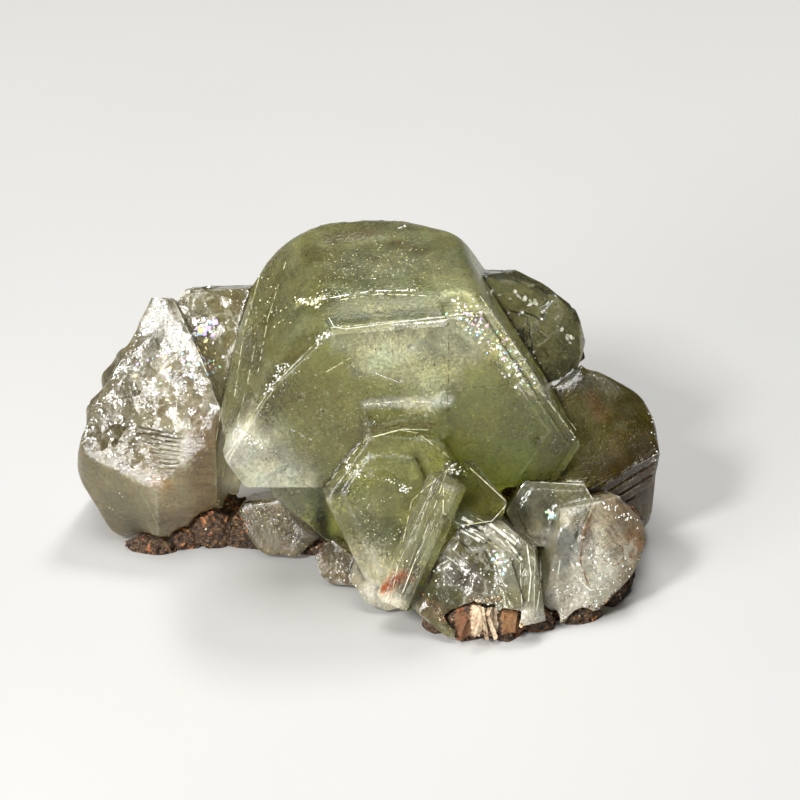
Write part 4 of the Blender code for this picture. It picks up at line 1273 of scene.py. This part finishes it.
@dataclass
class Glints:
    """Flakes that broke at the surface and catch the light, a few of them with rainbow colours.

    Their pale and rainbow colours are painted glints and painted rainbow reflections.
    """

    seed: int = 11
    loose: int = 450
    thickness: float = 0.16
    sunk: float = 0.12
    finish: PaintedFinish = PaintedFinish("glints", 0.12, 1.63, 2400.0, 0.02)

    def flake(self, into: Scatter, random: Random, point: Vector, out: Vector, size: float, lean: float, colour: Tone) -> None:
        """Set one flake.

        Args:
            into: The mesh that takes it.
            random: Where the chances come from.
            point: The surface point, in millimetres.
            out: The surface's direction.
            size: The flake's width in millimetres.
            lean: How far it leans, as a share of its direction.
            colour: Its colour.
        """
        tilted = out + Vector(random.uniform(-lean, lean) for _ in range(3))
        place = point - out * size * self.sunk * 0.5
        sides = (size, size * random.uniform(0.45, 1.0), size * self.thickness * 2.2)
        made = bmesh.ops.create_cone(
            into.bm,
            cap_ends=True,
            segments=random.choice((4, 5, 6)),
            radius1=0.6,
            radius2=0.42,
            depth=1.0,
            matrix=settle(place, tilted.normalized(), sides, random.uniform(0, math.tau)),
        )
        into.colour(made["verts"], colour)

    def line(self, into: Scatter, random: Random, stroke: Stroke, surface: Surface) -> None:
        """Lay one fine line over the surface, piece by piece.

        Args:
            into: The mesh that takes it.
            random: Where the chances come from.
            stroke: The line.
            surface: The crystals' outside.
        """
        found = []
        for a, b in zip(stroke.points, stroke.points[1:]):
            steps = max(1, round(math.dist(a, b) / 4))
            for i in range(steps + 1):
                found.append(surface.under(a[0] + (b[0] - a[0]) * i / steps, a[1] + (b[1] - a[1]) * i / steps))
        for here, there in zip(found, found[1:]):
            if not here or not there or random.random() < stroke.broken:
                continue
            run = there[0] - here[0]
            if not 0.05 < run.length < 1.6:
                continue
            across = here[1].cross(run).normalized()
            turned = Matrix((run.normalized(), across, run.cross(across).normalized())).transposed().to_4x4()
            width = stroke.width * random.uniform(0.6, 1.3)
            sides = Matrix.Diagonal((run.length * 1.04 * MM, width * MM, width * 0.8 * MM, 1.0))
            middle = Matrix.Translation((here[0] + run / 2) * MM)
            made = bmesh.ops.create_cube(into.bm, size=1.0, matrix=middle @ turned @ sides)
            into.colour(made["verts"], random.choice(stroke.tones))

    def build(self, surface: Surface) -> bpy.types.Object:
        """Set the flakes and lines seen in the picture, and loose flakes on the broken crystals all round.

        Args:
            surface: The crystals' outside.

        Returns:
            The piece.
        """
        random = Random(self.seed)
        into = Scatter("glints")
        for spot in SPRINKLES:
            for _ in range(spot.count):
                t = random.random()
                x = spot.start[0] + (spot.end[0] - spot.start[0]) * t + random.gauss(0, spot.spread / 2)
                y = spot.start[1] + (spot.end[1] - spot.start[1]) * t + random.gauss(0, spot.spread / 2)
                found = surface.under(x, y)
                if found and found[0].z > 1.0:
                    size = random.uniform(*spot.size) ** 1.0
                    self.flake(into, random, *found, size, spot.lean, random.choice(spot.tones))
        for stroke in STROKES:
            self.line(into, random, stroke, surface)
        zones = [growth.value for growth in Growth]

        def broken(point: Vector, out: Vector) -> bool:
            """Whether loose flakes lie here."""
            return point.z > 1.2 and random.random() < zones[Growth.holding(point)].broken

        # Loose pale flakes on the broken crystals: painted glints.
        for point, out in surface.scattered(random, self.loose, broken):
            self.flake(into, random, point, out, random.uniform(0.08, 0.34), 0.5, random.choice(PEARL_GLINT))
        obj = into.finish()
        obj.data.materials.append(self.finish.build())
        return obj


@dataclass(frozen=True)
class Heap:
    """Crumbs along a line of the picture."""

    start: tuple[float, float]
    end: tuple[float, float]
    spread: float
    count: int
    size: tuple[float, float] = (0.16, 0.5)
    pale: float = 0.2


HEAPS = (
    Heap((182, 548), (250, 520), 9, 260),
    Heap((120, 546), (190, 556), 4, 110, (0.12, 0.36)),
    Heap((455, 628), (522, 622), 7, 200, (0.14, 0.5), 0.35),
    Heap((470, 600), (510, 598), 3, 60, (0.12, 0.3), 0.4),
    Heap((408, 575), (452, 628), 4, 90, (0.12, 0.3)),
    Heap((560, 625), (640, 585), 5, 120, (0.12, 0.34), 0.35),
    Heap((640, 585), (650, 540), 5, 90, (0.12, 0.34)),
    Heap((380, 592), (405, 574), 4, 60, (0.08, 0.22)),
    Heap((262, 556), (322, 560), 3, 60, (0.1, 0.3)),
)


@dataclass
class Crust:
    """The thin rusty matrix: a rough body with crumbs on it and in the gaps between the crystals' feet."""

    solid: str = "matrix"
    seed: int = 5
    longest_edge: float = 0.5
    rough: float = 0.34
    crumbs: int = 5200
    dark: tuple[Tone, ...] = (tone(60, 44, 30), tone(78, 58, 38), tone(46, 34, 24), tone(100, 74, 48))
    warm: tuple[Tone, ...] = (tone(142, 86, 50), tone(122, 74, 44), tone(166, 112, 70))
    pale: tuple[Tone, ...] = (tone(206, 184, 146), tone(176, 150, 112), tone(224, 208, 176))
    blades: tuple[tuple[tuple[float, float, float], tuple[float, float, float], Tone], ...] = (
        ((12.7, -16.6, 2.4), (1.5, 1.4, 1.9), tone(218, 198, 166)),
        ((15.6, -16.1, 2.3), (1.0, 1.1, 1.3), tone(140, 104, 66)),
        ((10.4, -16.3, 1.8), (0.9, 1.2, 1.3), tone(112, 80, 52)),
    )
    finish: PaintedFinish = PaintedFinish("rusty_matrix", 0.85, 1.5, 2600.0, 0.25)

    def blade_tone(self, place: Vector) -> Tone | None:
        """Colour of the blade that holds a place, in millimetres, if there is one."""
        for middle, half, colour in self.blades:
            if all(abs(p - m) < h for p, m, h in zip(place, middle, half)):
                return colour
        return None

    def body(self) -> bpy.types.Object:
        """Copy the solid finely and roughen it inward.

        Returns:
            The body.
        """
        bm = bmesh.new()
        bm.from_mesh(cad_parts[self.solid].data)
        bmesh.ops.remove_doubles(bm, verts=bm.verts, dist=0.002 * MM)
        bmesh.ops.triangulate(bm, faces=bm.faces)
        for _ in range(8):
            edges = [e for e in bm.edges if e.calc_length() > self.longest_edge * MM]
            if not edges:
                break
            bmesh.ops.subdivide_edges(bm, edges=edges, cuts=1)
            bmesh.ops.triangulate(bm, faces=[f for f in bm.faces if len(f.verts) > 3])
        bm.normal_update()
        tint = bm.loops.layers.float_color.new("tint")
        for vert in bm.verts:
            place = vert.co / MM
            if place.z < 0.05:
                continue
            depth = noise.fractal(place * 1.3, 0.6, 2.2, 5) * self.rough - self.rough * 0.6
            if self.blade_tone(place):
                depth *= 0.3
            vert.co += vert.normal * min(0.0, depth) * MM
        for face in bm.faces:
            place = face.calc_center_median() / MM
            value = noise.fractal(place * 0.7, 0.8, 2.0, 4)
            tones = self.warm if value > 0.45 else self.dark
            colour = self.blade_tone(place)
            if colour:
                share = min(1.0, max(0.0, noise.fractal(Vector((place.x * 4, place.y * 4, place.z)), 0.7, 2.0, 3) + 0.3))
                colour = tuple(Vector(colour).lerp(Vector(self.warm[1]), share * 0.85))
            else:
                colour = tones[int(abs(value) * 997) % len(tones)]
            for loop in face.loops:
                loop[tint] = (*colour, 1.0)
        return to_object(bm, "crust_body")

    def crumb(self, into: Scatter, random: Random, point: Vector, out: Vector, size: float, pale: float) -> None:
        """Set one crumb, with half of it in what carries it.

        Args:
            into: The mesh that takes it.
            random: Where the chances come from.
            point: The surface point, in millimetres.
            out: The surface's direction.
            size: The crumb's width in millimetres.
            pale: Share of pale crumbs.
        """
        chance = random.random()
        tones = self.pale if chance < pale else self.warm if chance < pale + 0.22 else self.dark
        sides = (size * random.uniform(0.6, 1.2), size * random.uniform(0.6, 1.2), size * random.uniform(0.4, 0.9))
        place = point - out * size * 0.15
        place.z = max(place.z, size * 1.2)
        made = bmesh.ops.create_icosphere(
            into.bm, subdivisions=1, radius=0.5, matrix=settle(place, out, sides, random.uniform(0, math.tau))
        )
        into.colour(made["verts"], random.choice(tones))

    def build(self, surface: Surface) -> bpy.types.Object:
        """Make the crust.

        Args:
            surface: The crystals' outside, which carries the crumbs beside the matrix.

        Returns:
            The piece.
        """
        random = Random(self.seed)
        body = self.body()
        into = Scatter("crust")
        own = Surface(body, surface.sight)
        for point, out in own.scattered(random, self.crumbs, lambda p, n: n.z > -0.6 and p.z > 0.25 and not self.blade_tone(p)):
            self.crumb(into, random, point, out, random.uniform(0.12, 0.5), 0.2)
        for heap in HEAPS:
            for _ in range(heap.count):
                t = random.random()
                x = heap.start[0] + (heap.end[0] - heap.start[0]) * t + random.gauss(0, heap.spread / 2)
                y = heap.start[1] + (heap.end[1] - heap.start[1]) * t + random.gauss(0, heap.spread / 2)
                found = surface.under(x, y)
                if found and found[0].z < 8.0:
                    self.crumb(into, random, *found, random.uniform(*heap.size), heap.pale)
        into.meshes.append(body.data.copy())
        bpy.data.objects.remove(body)
        obj = into.finish()
        obj.data.materials.clear()
        obj.data.materials.append(self.finish.build())
        return obj


@dataclass(frozen=True)
class Softbox:
    """A soft light: where it hangs and how large it is, in metres, and its power in watts."""

    name: str
    place_m: tuple[float, float, float]
    size_m: tuple[float, float]
    watts: float


@dataclass
class Studio:
    """A pale floor under soft light."""

    floor_tone: Tone = (0.42, 0.415, 0.40)
    floor_side_m: float = 3.0
    sky: Tone = (0.86, 0.85, 0.81)
    sky_strength: float = 0.08
    lights: tuple[Softbox, ...] = (
        Softbox("over", (-0.1, 0.0, 0.95), (0.5, 0.5), 7.0),
        Softbox("key", (-0.24, -0.28, 0.34), (0.09, 0.09), 2.4),
        Softbox("fill", (-0.55, -0.55, 0.22), (0.40, 0.30), 5.5),
        Softbox("rear", (0.12, 0.24, 0.50), (0.14, 0.14), 1.8),
    )

    def lay_floor(self) -> None:
        """Lay the floor under the group."""
        bm = bmesh.new()
        bmesh.ops.create_grid(bm, x_segments=1, y_segments=1, size=self.floor_side_m)
        floor = to_object(bm, "floor")
        g = Graph("floor")
        mottle = g.add("TexNoise", Vector=g.add("TexCoord", out="Object"), Scale=18.0, Detail=3.0)
        shade = g.spread(mottle, 0.3, 0.7, 0.97, 1.0)
        g.link(g.mix(1.0, (*self.floor_tone, 1.0), shade, "MULTIPLY"), "Base Color")
        g.plain(Roughness=0.75)
        floor.data.materials.append(g.material)

    def hang(self, light: Softbox) -> None:
        """Hang a light that looks at the group."""
        data = bpy.data.lights.new(light.name, "AREA")
        data.shape = "RECTANGLE"
        data.size, data.size_y = light.size_m
        data.energy = light.watts
        lamp = link(bpy.data.objects.new(light.name, data))
        lamp.location = light.place_m
        lamp.rotation_euler = (Vector((0, 0, 0.015)) - lamp.location).to_track_quat("-Z", "Y").to_euler()

    def build(self) -> None:
        """Set up the floor, the sky and the lights."""
        self.lay_floor()
        world = bpy.data.worlds.new("studio")
        world.use_nodes = True
        background = world.node_tree.nodes["Background"]
        background.inputs["Color"].default_value = (*self.sky, 1.0)
        background.inputs["Strength"].default_value = self.sky_strength
        bpy.context.scene.world = world
        bpy.context.scene.view_settings.view_transform = "Standard"
        for light in self.lights:
            self.hang(light)


def main() -> None:
    """Build every piece, in the order in which it sits on the others."""
    logging.basicConfig(level=logging.INFO, format="%(message)s")
    sight = Sight()
    group = CrystalGroup()
    crystals = group.build(sight)
    group.dress(crystals, sight)
    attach(crystals, "root")
    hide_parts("crystals")
    log.info("%s: %d faces", crystals.name, len(crystals.data.polygons))
    surface = Surface(crystals, sight)
    crust = Crust().build(surface)
    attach(crust, "root")
    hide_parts("matrix")
    log.info("%s: %d faces", crust.name, len(crust.data.polygons))
    glints = Glints().build(surface)
    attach(glints, "root")
    log.info("%s: %d faces", glints.name, len(glints.data.polygons))
    Studio().build()
    sight.make_camera()


if __name__ == "__main__":
    main()
